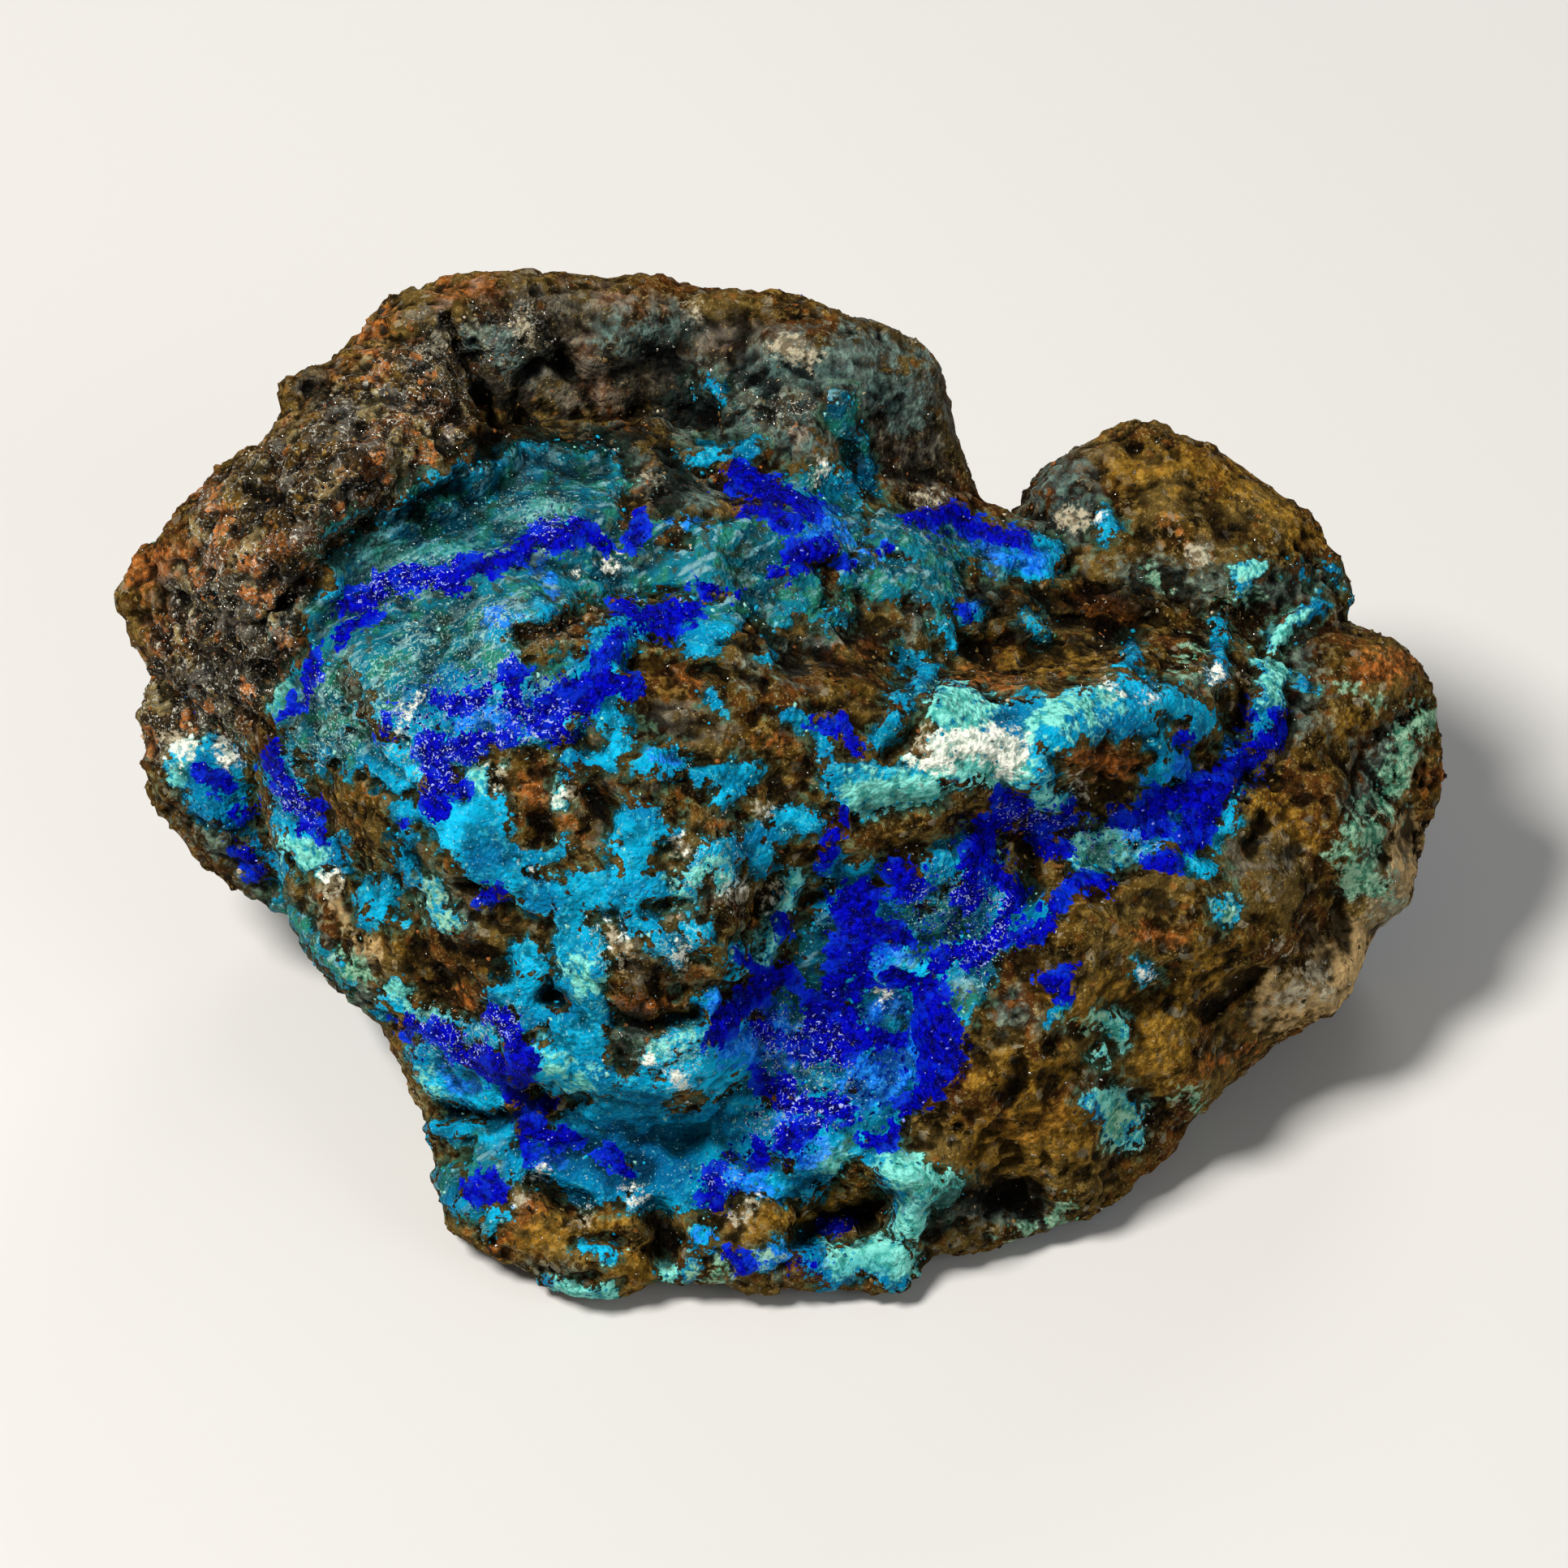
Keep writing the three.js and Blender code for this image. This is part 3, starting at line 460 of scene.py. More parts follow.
    (0.3, (16.8, -0.5), (16.5, -1.4), (16.0, -2.0)),
    (0.3, (15.2, -2.7), (15.9, -3.2)),
    (0.35, (16.3, -4.5), (16.5, -4.9)),
    (0.3, (11.9, 10.0), (12.0, 9.3)),
    (0.42, (12.2, -8.9), (12.5, -9.1)),
    (0.3, (11.9, -10.1)),
    (0.7, (11.9, -12.1), (12.6, -12.2), (12.6, -12.9)),
    (0.3, (10.4, -8.2), (10.0, -8.6)),
    (0.3, (13.4, -7.1)),
    # the knob
    (0.9, (-22.2, 0.6), (-21.2, 0.9), (-21.4, -0.4), (-20.8, -0.9)),
    (0.3, (-19.6, -2.2), (-18.8, -3.4)),
)
WINDOWS = (
    # where ore shows through
    (0.75, (-15.9, -0.4), (-15.6, -1.3), (-15.7, -2.2), (-15.3, -2.9)),
    (0.3, (-16.9, 0.5), (-16.2, 0.4), (-15.4, 0.0), (-14.7, -0.5)),
    (0.35, (-13.7, -1.7), (-13.3, -2.2), (-13.0, -2.8)),
    (0.4, (-14.3, -4.5), (-13.7, -4.3)),
    (0.9, (-15.2, -6.0), (-14.0, -6.4), (-12.8, -6.4), (-11.8, -6.0)),
    (0.9, (-13.4, -7.2), (-12.4, -7.3), (-11.6, -6.8), (-11.0, -6.2)),
    (0.5, (-13.2, -7.9), (-12.2, -8.1), (-11.7, -7.8)),
    (0.6, (-11.7, -4.3), (-10.9, -4.9), (-10.4, -5.6), (-9.6, -5.3), (-9.2, -5.4)),
    (0.25, (-8.7, -6.4), (-8.5, -6.9)),
    (0.35, (-8.7, -8.0), (-8.3, -8.1)),
    (0.2, (-9.0, -9.3), (-8.4, -9.6)),
    (0.7, (-9.9, 0.7), (-9.1, 0.6), (-9.2, -0.6), (-9.2, -1.2), (-9.0, -1.9)),
    (0.5, (-11.2, 0.9), (-10.2, 1.0), (-9.2, 1.0)),
    (0.5, (-8.1, -1.4), (-7.6, -1.9)),
    (0.7, (-7.5, -0.4), (-6.8, -0.6), (-6.8, -1.2)),
    (0.45, (-7.0, -2.2), (-6.6, -2.3)),
    (0.5, (-8.4, -3.2), (-7.6, -2.7), (-6.8, -2.8)),
    (0.3, (-10.2, -2.0), (-9.6, -2.2)),
    (0.25, (-10.4, -9.3), (-10.2, -8.8)),
    (0.3, (-6.1, -0.6), (-5.6, 0.1), (-5.2, -0.5)),
    (0.6, (-4.1, -1.2), (-3.3, -1.2), (-2.6, -1.6), (-1.9, -1.4), (-1.5, -1.0)),
    (0.35, (-4.3, -2.7), (-3.9, -3.2)),
    (0.35, (-1.5, -3.3), (-1.1, -3.7)),
    (0.4, (-2.8, -4.2), (-3.4, -4.7), (-4.4, -4.6), (-5.0, -4.6)),
    (0.6, (-1.9, -4.9), (-1.2, -5.2), (-2.1, -5.6)),
    (0.35, (-6.9, -5.2), (-6.5, -5.0)),
    (0.35, (-5.6, -6.0), (-5.4, -6.5)),
    (0.65, (-4.9, -7.1), (-4.1, -7.4), (-3.2, -7.2), (-2.6, -6.6), (-2.5, -6.1)),
    (0.6, (-6.0, -8.3), (-4.9, -8.2), (-3.8, -8.4)),
    (0.5, (-6.2, -9.3), (-5.4, -9.2), (-4.7, -9.0)),
    (0.4, (-6.4, -10.3), (-5.8, -10.6)),
    (0.4, (1.0, -3.5), (1.4, -3.8), (1.1, -4.2)),
    (0.7, (2.7, -2.4), (3.7, -2.0), (4.7, -1.6), (5.8, -1.3), (6.8, -0.9), (7.5, -0.6)),
    (0.3, (5.9, -3.9)),
    (0.2, (5.1, -4.6), (5.4, -4.5)),
    (0.3, (4.4, -2.5), (5.2, -2.4)),
    (0.35, (9.0, -2.2), (9.2, -3.0), (9.3, -4.0)),
    (0.75, (11.1, 0.9), (12.0, 0.9), (13.0, 1.1), (12.2, 0.0)),
    (0.3, (14.4, 2.3)),
    (0.15, (7.9, 0.9)),
    (0.35, (-7.4, 2.3), (-7.0, 1.7)),
    (0.6, (-9.8, 5.5), (-8.8, 5.4), (-7.8, 6.0)),
    (0.4, (-16.5, 4.2), (-15.8, 3.1)),
    (0.4, (-9.2, 4.6), (-8.4, 4.8)),
    (0.35, (-18.6, 7.6), (-17.6, 8.4), (-16.6, 9.2), (-15.4, 10.0)),
    (0.45, (-8.4, 5.2), (-7.8, 5.2)),
    (0.3, (-4.2, 9.0), (-3.6, 9.0)),
    (0.35, (-3.0, 6.9), (-2.7, 6.8)),
    (0.4, (-4.2, -11.8), (-3.5, -11.8)),
    (0.3, (-10.4, -12.2), (-10.0, -12.2)),
)
TEAL = (  # where the crust is deeper and greener, over grey ore
    (
        2.4, (-16.5, 4.6), (-14.0, 6.0), (-11.0, 8.6), (-7.0, 9.0), (-2.0, 8.4), (4.0, 8.2),
        (6.0, 8.4),
    ),
    (1.6, (-16.0, 9.4), (-12.6, 10.0), (-9.0, 11.4), (-7.0, 11.8)),
    (1.2, (-18.0, 2.2), (-16.2, 2.0)),
    (0.9, (-18.6, -4.8), (-16.4, -7.0)),
    (1.0, (-11.4, 4.8), (-9.6, 4.5), (-8.6, 4.0)),
    (0.9, (1.6, -5.4), (1.0, -7.2), (0.4, -8.6)),
    (0.8, (5.0, -5.0), (6.6, -5.0), (5.4, -5.8)),
    (0.6, (4.0, -8.8), (4.8, -8.8)),
    (0.5, (2.4, -13.2)),
    (0.5, (6.5, -8.2), (6.9, -7.6)),
    (0.6, (5.0, -15.3), (4.7, -15.9)),
    (0.8, (-13.0, -14.8), (-11.0, -14.0), (-11.4, -16.4)),
    (0.9, (0.6, 11.6), (2.4, 12.4), (2.2, 14.4)),
)
PALE = (  # where the crust is thin, milky and light
    (0.8, (6.0, 3.0), (7.2, 2.7), (5.6, 0.8), (7.8, 0.4), (9.0, 0.6)),
    (0.9, (3.0, -0.4), (4.6, -0.5), (5.5, -0.3)),
    (0.45, (9.2, 1.5), (9.8, 2.6), (12.0, 3.4)),
    (0.3, (10.6, 2.2), (12.2, 2.6)),
    (0.6, (9.6, -0.6), (10.0, -0.9)),
    (0.8, (11.2, -2.4), (12.6, -2.2)),
    (0.5, (-11.3, 0.2), (-10.7, 0.4), (-8.2, -0.3)),
    (0.9, (-17.0, 8.4), (-15.4, 9.2), (-14.6, 8.4)),
    (0.5, (-10.0, 9.6), (-9.4, 10.2), (-8.6, 10.2)),
    (0.4, (-14.0, 8.6), (-12.4, 8.6), (-11.4, 8.9)),
    (0.6, (-18.8, 3.8), (-18.4, 2.9)),
    (0.5, (-18.4, -2.2), (-17.2, -2.8)),
    (0.35, (0.4, -3.4), (-0.2, -5.0), (-1.0, -6.7)),
    (0.4, (-4.0, -4.2), (-3.9, -3.8), (-2.6, -3.2), (-2.2, -3.8)),
    (0.5, (-7.8, -6.9), (-7.4, -7.4), (-6.4, -7.4), (-6.2, -6.8)),
    (0.5, (-14.6, -7.8), (-13.6, -8.4), (-12.4, -8.7)),
    (0.35, (-13.6, -10.8), (-13.0, -11.6)),
    (0.45, (-9.0, -10.2), (-8.2, -11.0), (-7.4, -11.0)),
    (0.35, (-5.2, -10.0), (-4.0, -9.8), (-3.1, -9.1)),
    (0.6, (3.7, -7.6), (4.3, -6.5)),
    (1.0, (4.4, -14.2), (5.4, -14.8), (6.6, -15.2), (4.9, -16.6)),
    (0.8, (2.2, -17.6), (3.8, -17.6), (4.6, -17.8)),
    (0.6, (-8.4, -18.8), (-6.6, -18.9), (-4.2, -18.2)),
    (0.8, (12.3, -9.0), (11.9, -10.1), (12.2, -12.2), (12.6, -13.0)),
    (0.5, (18.9, 6.2), (18.3, 4.8), (18.2, 3.4)),
    (0.4, (18.2, 3.8), (18.4, 5.2)),
    (0.5, (17.4, 8.0)),
    (0.4, (-22.8, 0.0), (-22.2, 1.4)),
    (0.5, (1.0, -13.6), (1.9, -14.2)),
    (0.4, (12.4, -12.6), (12.8, -11.8)),
    (0.3, (-13.0, -4.8), (-12.6, -5.2)),
)
SKY = (  # where fine azurite colours the crust a clear light blue
    (0.9, (-2.0, -9.6), (-0.8, -9.6), (-0.7, -8.9)),
    (1.0, (4.8, -10.0), (3.8, -10.6), (3.2, -11.3)),
    (0.8, (2.4, -9.0), (1.0, -9.4), (-0.4, -9.8)),
    (0.6, (3.4, -8.6), (4.2, -8.2)),
    (0.5, (2.6, -6.6), (3.2, -6.9), (4.2, -6.4), (3.7, -7.2)),
    (0.5, (3.4, -6.0), (3.8, -6.2)),
    (0.5, (8.3, -3.4), (8.6, -3.9), (7.6, -2.0)),
    (0.4, (8.1, -5.9), (7.4, -5.3)),
    (0.6, (13.0, -1.9), (14.2, -1.3), (14.2, -2.1)),
    (0.5, (14.9, 0.8), (14.9, 0.2), (16.8, 1.2)),
    (0.3, (13.0, -0.1)),
    (0.6, (-1.4, -14.8), (-2.3, -15.2), (-0.8, -15.0)),
    (0.5, (-8.5, -13.7), (-9.1, -13.9)),
    (0.5, (0.3, -13.7), (1.3, -13.6)),
    (0.4, (-2.4, -7.9), (-2.9, -8.4)),
    (0.5, (10.2, -3.6), (10.1, -4.1)),
    (0.5, (1.2, 10.0), (2.0, 9.4), (1.2, 9.3)),
    (0.6, (-9.6, 2.5), (-8.8, 3.0), (-11.4, 2.5), (-12.2, 2.2)),
    (0.5, (-12.6, 8.0), (-12.2, 7.7)),
    (0.4, (-17.7, -1.2), (-17.4, -1.8)),
    (0.4, (-4.0, 9.9), (-3.1, 10.2)),
    (0.5, (8.4, 8.9), (7.4, 8.8), (9.5, 8.3)),
    (0.4, (-11.0, 6.2), (-10.4, 6.4)),
    (0.4, (-9.0, 8.0), (-8.6, 7.6)),
    (0.6, (0.9, -13.0), (0.2, -12.9)),
    (0.4, (3.6, 8.7), (2.6, 8.4)),
    (0.4, (7.4, 7.5), (6.8, 6.4)),
    (0.4, (-3.0, -17.0), (1.2, -18.0)),
    (0.3, (-12.6, -10.9), (-11.6, -11.3)),
    (0.3, (-4.8, 0.9), (-4.2, 0.9)),
)
DEEP = (  # where the crust is darker: partly its own thick dark teal, partly painted shade in the hollow under the bulge, in creases and on the knob
    (1.1, (-13.8, 9.6), (-12.2, 10.0), (-10.8, 10.9), (-9.2, 11.6)),
    (0.5, (-8.0, 11.2), (-7.2, 10.4)),
    (0.9, (-13.4, 3.6), (-12.4, 4.4)),
    (1.3, (-8.0, -13.6), (-6.0, -13.0), (-4.0, -13.6)),
    (0.9, (-6.4, -14.8), (-3.4, -14.6)),
    (0.6, (-5.4, -12.3), (-3.4, -12.6)),
    (0.7, (3.8, -4.7), (5.9, -4.9), (6.8, -5.0), (5.2, -5.8)),
    (0.7, (1.8, -4.2), (1.6, -5.6), (1.0, -7.4), (0.4, -8.6)),
    (0.6, (7.8, -5.4), (6.8, -6.4)),
    (0.4, (-9.8, -8.3), (-9.6, -9.0)),
    (0.5, (-11.4, -2.8), (-10.6, -3.4)),
    (0.5, (-5.2, -3.7), (-6.4, -4.0)),
    (0.5, (-12.6, -14.8), (-12.2, -15.6)),
    (0.7, (2.2, 14.0), (2.8, 11.6)),
    (0.5, (-0.8, 8.6), (0.8, 8.8)),
    (0.5, (13.2, 3.2), (13.3, 2.4)),
    (0.9, (-21.8, 0.2), (-20.4, -2.0)),
    (0.5, (2.6, -18.2), (3.6, -18.2)),
)
STREAKED = (  # where needles of white silica lie through the crust, and where glints are painted thickly on crust and azurite
    (1.5, (-16.4, 3.4), (-14.2, 3.6), (-13.0, 5.0), (-10.6, 5.6)),
    (0.9, (-15.2, 7.4), (-14.2, 8.0), (-13.0, 8.2)),
    (1.2, (-14.2, 1.6), (-13.4, 3.0), (-11.6, 3.4), (-10.2, 2.6)),
    (1.0, (-13.4, 0.4), (-11.4, 1.4), (-8.6, 2.4)),
    (0.4, (-15.6, 6.8), (-14.4, 7.3), (-12.6, 7.2)),
    (0.9, (1.4, -9.6), (1.6, -11.4), (-0.6, -12.6)),
    (0.9, (-17.8, 1.0), (-16.2, 2.0)),
    (0.9, (-10.0, 10.2), (-8.6, 10.2)),
    (0.6, (-18.6, -0.4), (-17.9, -1.2)),
    (1.0, (-0.4, -9.2), (0.6, -10.6), (2.0, -11.4), (0.0, -12.4)),
    (0.9, (5.2, -4.2), (7.8, -4.6), (7.2, -6.8)),
    (0.6, (8.6, -1.2), (13.2, -2.4)),
    (0.9, (-2.4, -1.9), (-3.0, -3.4), (-4.2, -6.2)),
    (0.8, (-6.8, -5.6), (-5.8, -7.6), (-3.6, -10.4)),
    (0.8, (-13.6, -9.0), (-12.2, -9.8), (-10.4, -8.8)),
    (0.3, (-3.6, -14.6), (-1.6, -14.6)),
)
CRUST = 0.2  # thickness of the chrysocolla skin, in millimetres

# --- Azurite crust ------------------------------------------------------------------------
# Deep blue copper carbonate: a bed of tiny glassy crystals in bands and patches, standing
# a little proud of the chrysocolla that it grew on.

AZURITE = (
    (0.7, (2.4, -4.4), (2.7, -5.6), (2.3, -6.8)),
    (0.7, (5.4, -7.8), (5.9, -9.0), (5.8, -10.6)),
    (0.6, (1.2, -8.2), (2.2, -8.9), (1.6, -9.6)),
    # upper band
    (0.4, (-16.4, 6.7), (-15.8, 6.8), (-15.3, 7.0), (-15.0, 7.4)),
    (0.3, (-16.7, 5.5), (-15.9, 6.0), (-15.4, 6.2)),
    (0.45, (-15.0, 7.6), (-14.2, 7.7), (-13.2, 7.7), (-12.6, 7.5), (-12.0, 7.4)),
    (0.45, (-11.9, 7.9), (-11.2, 8.1), (-10.4, 8.4), (-9.7, 8.6)),
    (0.5, (-9.7, 8.8), (-9.1, 9.3), (-8.4, 9.3), (-7.6, 9.5)),
    (0.35, (-7.7, 9.9), (-7.4, 9.3), (-6.8, 9.0)),
    (0.4, (-5.5, 9.8), (-5.5, 9.2)),
    (0.22, (-12.5, 8.3), (-12.0, 8.3)),
    (0.3, (-17.6, 4.7), (-17.8, 3.9)),
    (0.2, (-17.8, 3.5), (-18.2, 2.8), (-18.5, 2.6)),
    # second band, down to the turquoise
    (0.42, (-10.0, 4.3), (-10.1, 3.6), (-10.3, 3.1), (-9.9, 2.8)),
    (0.28, (-13.0, 3.3), (-12.4, 2.9), (-11.5, 3.2), (-10.8, 3.6)),
    (0.45, (-9.1, 2.3), (-8.6, 2.0), (-8.3, 1.9)),
    (0.5, (-8.6, 2.9), (-7.8, 2.8), (-7.4, 3.1)),
    (0.5, (-8.0, 3.5), (-7.2, 3.5), (-6.3, 3.8), (-5.7, 3.6)),
    (0.3, (-7.0, 4.6), (-6.5, 4.7), (-6.2, 5.2), (-6.1, 5.6)),
    (0.35, (-6.2, 6.6), (-5.7, 6.5), (-5.3, 6.0)),
    (0.45, (-4.9, 6.4), (-4.2, 6.4), (-3.4, 6.3)),
    (0.35, (-4.8, 5.8), (-4.4, 5.7)),
    (0.32, (-11.8, 1.9), (-11.0, 1.6), (-10.4, 1.7)),
    (0.55, (-13.2, 1.4), (-13.0, 0.8), (-13.0, 0.0), (-13.1, -0.6), (-12.9, -1.0)),
    (0.4, (-12.3, 1.3), (-11.6, 1.3)),
    (0.3, (-14.9, 2.3), (-14.8, 1.7)),
    (0.3, (-12.4, 0.0), (-12.0, -0.3)),
    # far side of the slope
    (0.5, (-1.9, 11.6), (-1.3, 11.3), (-0.6, 11.0), (0.2, 10.6), (0.8, 10.3)),
    (0.32, (-1.3, 10.3), (-0.4, 10.1), (-0.2, 9.7), (0.3, 9.6)),
    (0.45, (0.3, 8.5), (0.8, 8.5), (1.6, 8.7)),
    (0.28, (-0.4, 7.8), (0.1, 7.9)),
    (0.25, (-3.2, 7.4), (-2.6, 7.3), (-1.9, 7.1)),
    (0.4, (4.8, 9.9), (5.5, 9.9), (6.3, 10.1), (6.7, 9.9)),
    (0.35, (7.0, 9.7), (7.8, 9.4), (8.4, 9.1), (8.8, 9.1)),
    (0.22, (3.6, 8.7), (3.8, 8.7)),
    (0.22, (2.5, 8.3)),
    (0.22, (1.3, 2.3), (1.7, 1.9)),
    (0.27, (2.1, 2.4), (2.4, 1.9), (2.55, 1.3)),
    (0.2, (6.4, 6.6), (6.9, 6.1)),
    # valley, left bank
    (0.32, (2.2, -0.9), (2.1, -1.6), (1.8, -2.1), (1.6, -2.8)),
    (0.25, (0.1, -5.1), (-0.1, -5.6)),
    (0.28, (-1.4, -6.6), (-1.1, -6.8)),
    (0.45, (0.1, -7.1), (-0.6, -7.3), (-1.2, -7.8), (-1.9, -8.5), (-2.4, -9.0), (-2.7, -9.4)),
    (0.55, (2.6, -4.3), (2.5, -5.0), (2.4, -5.8), (2.2, -6.6), (2.1, -7.4), (1.8, -7.9)),
    (0.5, (3.0, -4.2), (3.2, -5.3), (3.8, -5.5)),
    (0.4, (2.9, -6.8), (3.1, -7.3), (2.6, -8.0)),
    (0.35, (-0.8, -9.0), (-0.5, -9.5)),
    (0.45, (1.0, -9.0), (1.5, -9.4), (2.2, -9.5), (3.2, -9.5), (4.2, -9.6)),
    (0.35, (0.5, -9.8), (1.3, -10.0), (2.2, -10.0)),
    (0.4, (-0.8, -10.9), (-0.6, -11.4)),
    (0.42, (0.2, -11.1), (-0.2, -11.8), (0.6, -11.9), (1.6, -12.0), (2.2, -12.2)),
    (0.42, (1.2, -12.8), (0.6, -13.1), (0.0, -13.4)),
    (0.4, (-1.1, -13.6), (-0.9, -14.1)),
    # valley, middle and right bank
    (0.5, (4.1, -3.3), (4.6, -3.4), (5.0, -3.5), (4.4, -4.0)),
    (0.55, (7.6, -1.5), (7.3, -2.3), (7.2, -3.0), (7.2, -3.8), (6.9, -4.2)),
    (0.42, (8.2, -3.4), (8.7, -4.3), (8.3, -4.9)),
    (0.42, (8.3, -0.6), (8.8, -0.9), (8.3, -1.3)),
    (0.3, (9.2, -1.4), (9.6, -1.7), (10.2, -1.5), (10.7, -1.0)),
    (0.28, (9.3, -2.0), (9.9, -2.5), (10.4, -2.6)),
    (0.5, (5.8, -6.7), (6.6, -6.2), (7.3, -6.3), (8.0, -5.6)),
    (0.35, (8.8, -5.8), (9.4, -5.5), (9.9, -5.2)),
    (0.3, (10.0, -4.6), (10.3, -4.3)),
    (0.35, (10.7, -3.6), (11.3, -3.5), (12.0, -3.7)),
    (0.5, (5.2, -7.4), (5.4, -8.0), (5.3, -8.7), (5.4, -9.4)),
    (0.62, (5.9, -9.2), (5.9, -9.9), (6.1, -10.3), (5.8, -10.8)),
    (0.35, (4.6, -7.3), (4.0, -7.1)),
    (0.35, (4.4, -12.2), (5.0, -11.8), (5.6, -11.4)),
    (0.35, (3.2, -13.2), (3.9, -13.3), (4.2, -12.8)),
    (0.4, (9.9, -7.3), (10.4, -7.5), (10.3, -7.9)),
    (0.25, (10.6, -6.8), (10.9, -6.8)),
    (0.3, (4.1, -5.3), (4.6, -5.7)),
    # right band
    (0.62, (14.0, -0.8), (14.9, -0.5), (15.6, -0.3), (16.2, 0.1)),
    (0.55, (15.8, -0.9), (15.4, -1.6), (15.2, -2.1)),
    (0.38, (13.7, -2.9), (14.4, -2.9)),
    (0.42, (12.6, -1.2), (13.4, -1.2), (13.9, -1.7)),
    (0.35, (16.3, 0.4), (17.2, 0.9), (17.8, 1.3), (18.2, 1.8), (18.6, 2.4)),
    (0.2, (17.2, 2.2), (17.3, 2.9)),
    (0.25, (14.9, 1.9), (15.0, 1.6)),
    # lower left
    (0.38, (-13.3, -9.2), (-12.7, -9.3), (-12.2, -9.5)),
    (0.2, (-14.3, -8.9), (-13.6, -9.1)),
    (0.5, (-11.9, -10.2), (-11.3, -10.3), (-10.8, -10.6), (-10.7, -10.9)),
    (0.35, (-11.0, -8.6), (-10.5, -8.9), (-10.0, -9.4), (-10.0, -9.9)),
    (0.5, (-9.9, -10.3), (-9.5, -10.4), (-9.8, -10.8)),
    (0.35, (-10.1, -11.5), (-9.9, -11.9)),
    (0.25, (-8.9, -12.1), (-8.5, -12.0)),
    (0.42, (-9.6, -12.8), (-9.0, -13.1), (-8.3, -13.1), (-7.8, -13.2)),
    (0.28, (-9.6, -13.5), (-9.5, -13.9)),
    (0.35, (-6.4, -13.8), (-6.2, -14.2), (-5.7, -14.5)),
    (0.48, (-11.0, -14.8), (-10.8, -15.3), (-11.5, -15.2)),
    (0.32, (-2.6, -14.5), (-2.8, -15.3), (-2.6, -15.8)),
    (0.22, (-2.1, -14.0)),
    (0.32, (-11.4, -4.4), (-11.0, -4.3), (-10.6, -4.1)),
    (0.2, (-14.3, -1.5)),
    (0.35, (-19.2, 1.4), (-19.0, 0.6), (-18.6, 0.0), (-18.2, -0.6), (-17.4, -0.9)),
    (0.28, (-18.1, -1.7), (-17.6, -1.4), (-17.2, -2.1)),
    (0.3, (-1.9, -17.5), (-1.4, -18.0)),
    (0.25, (1.2, -18.0)),
    (0.3, (1.6, -16.6), (2.4, -16.4)),
    # the knob
    (0.45, (-21.6, 0.3), (-21.0, 0.0)),
    (0.35, (-20.2, -2.6), (-19.7, -3.2)),
    (0.25, (-20.4, -1.2), (-19.9, -1.0)),
)
SPRINKLED = (  # where loose single crystals lie scattered
    (1.0, (-16.2, 6.4), (-14.4, 7.6), (-12.0, 7.8), (-9.8, 8.8), (-7.6, 9.4)),
    (1.4, (-13.6, 3.0), (-11.6, 3.2), (-9.8, 3.2), (-7.6, 3.2)),
    (1.1, (-13.2, 1.6), (-12.9, -0.2)),
    (0.9, (-7.2, 4.2), (-6.0, 5.8), (-3.8, 6.4)),
    (0.7, (-18.9, 0.8), (-18.2, -0.8), (-17.5, -1.6)),
    (1.0, (-1.6, 11.0), (0.2, 10.0), (1.2, 8.8)),
    (0.9, (4.8, 9.8), (8.6, 9.0)),
    (1.0, (0.0, -7.4), (-2.2, -9.2)),
    (1.1, (2.4, -5.0), (2.2, -7.6)),
    (1.9, (0.4, -9.4), (2.6, -10.0), (1.2, -11.6), (0.0, -12.8)),
    (1.4, (5.6, -8.0), (6.0, -10.2), (3.8, -11.4)),
    (1.5, (7.2, -2.2), (7.8, -4.4), (6.8, -6.2), (4.6, -5.2)),
    (0.9, (8.6, -1.0), (10.2, -2.2), (12.8, -1.4)),
    (1.2, (13.4, -1.2), (16.0, -0.6), (18.0, 1.4)),
    (0.9, (10.4, -7.3)),
    (0.9, (-13.4, -9.3), (-11.4, -10.3), (-9.9, -10.2)),
    (0.9, (-9.6, -13.0), (-8.0, -13.4)),
    (1.0, (-1.4, -13.8), (-2.6, -15.2)),
    (0.9, (-11.2, -15.0)),
    (0.8, (-1.6, -17.7), (1.2, -18.0)),
    (0.7, (-21.2, 0.2), (-20.2, -2.4)),
)
CRYSTAL_BED = 0.12  # how far the azurite stands above the chrysocolla, in millimetres

# --- Malachite and white clay -------------------------------------------------------------
# Green copper carbonate as a thin matt stain and small blobs, and white kaolin and quartz
# that fills corners between the crusts.

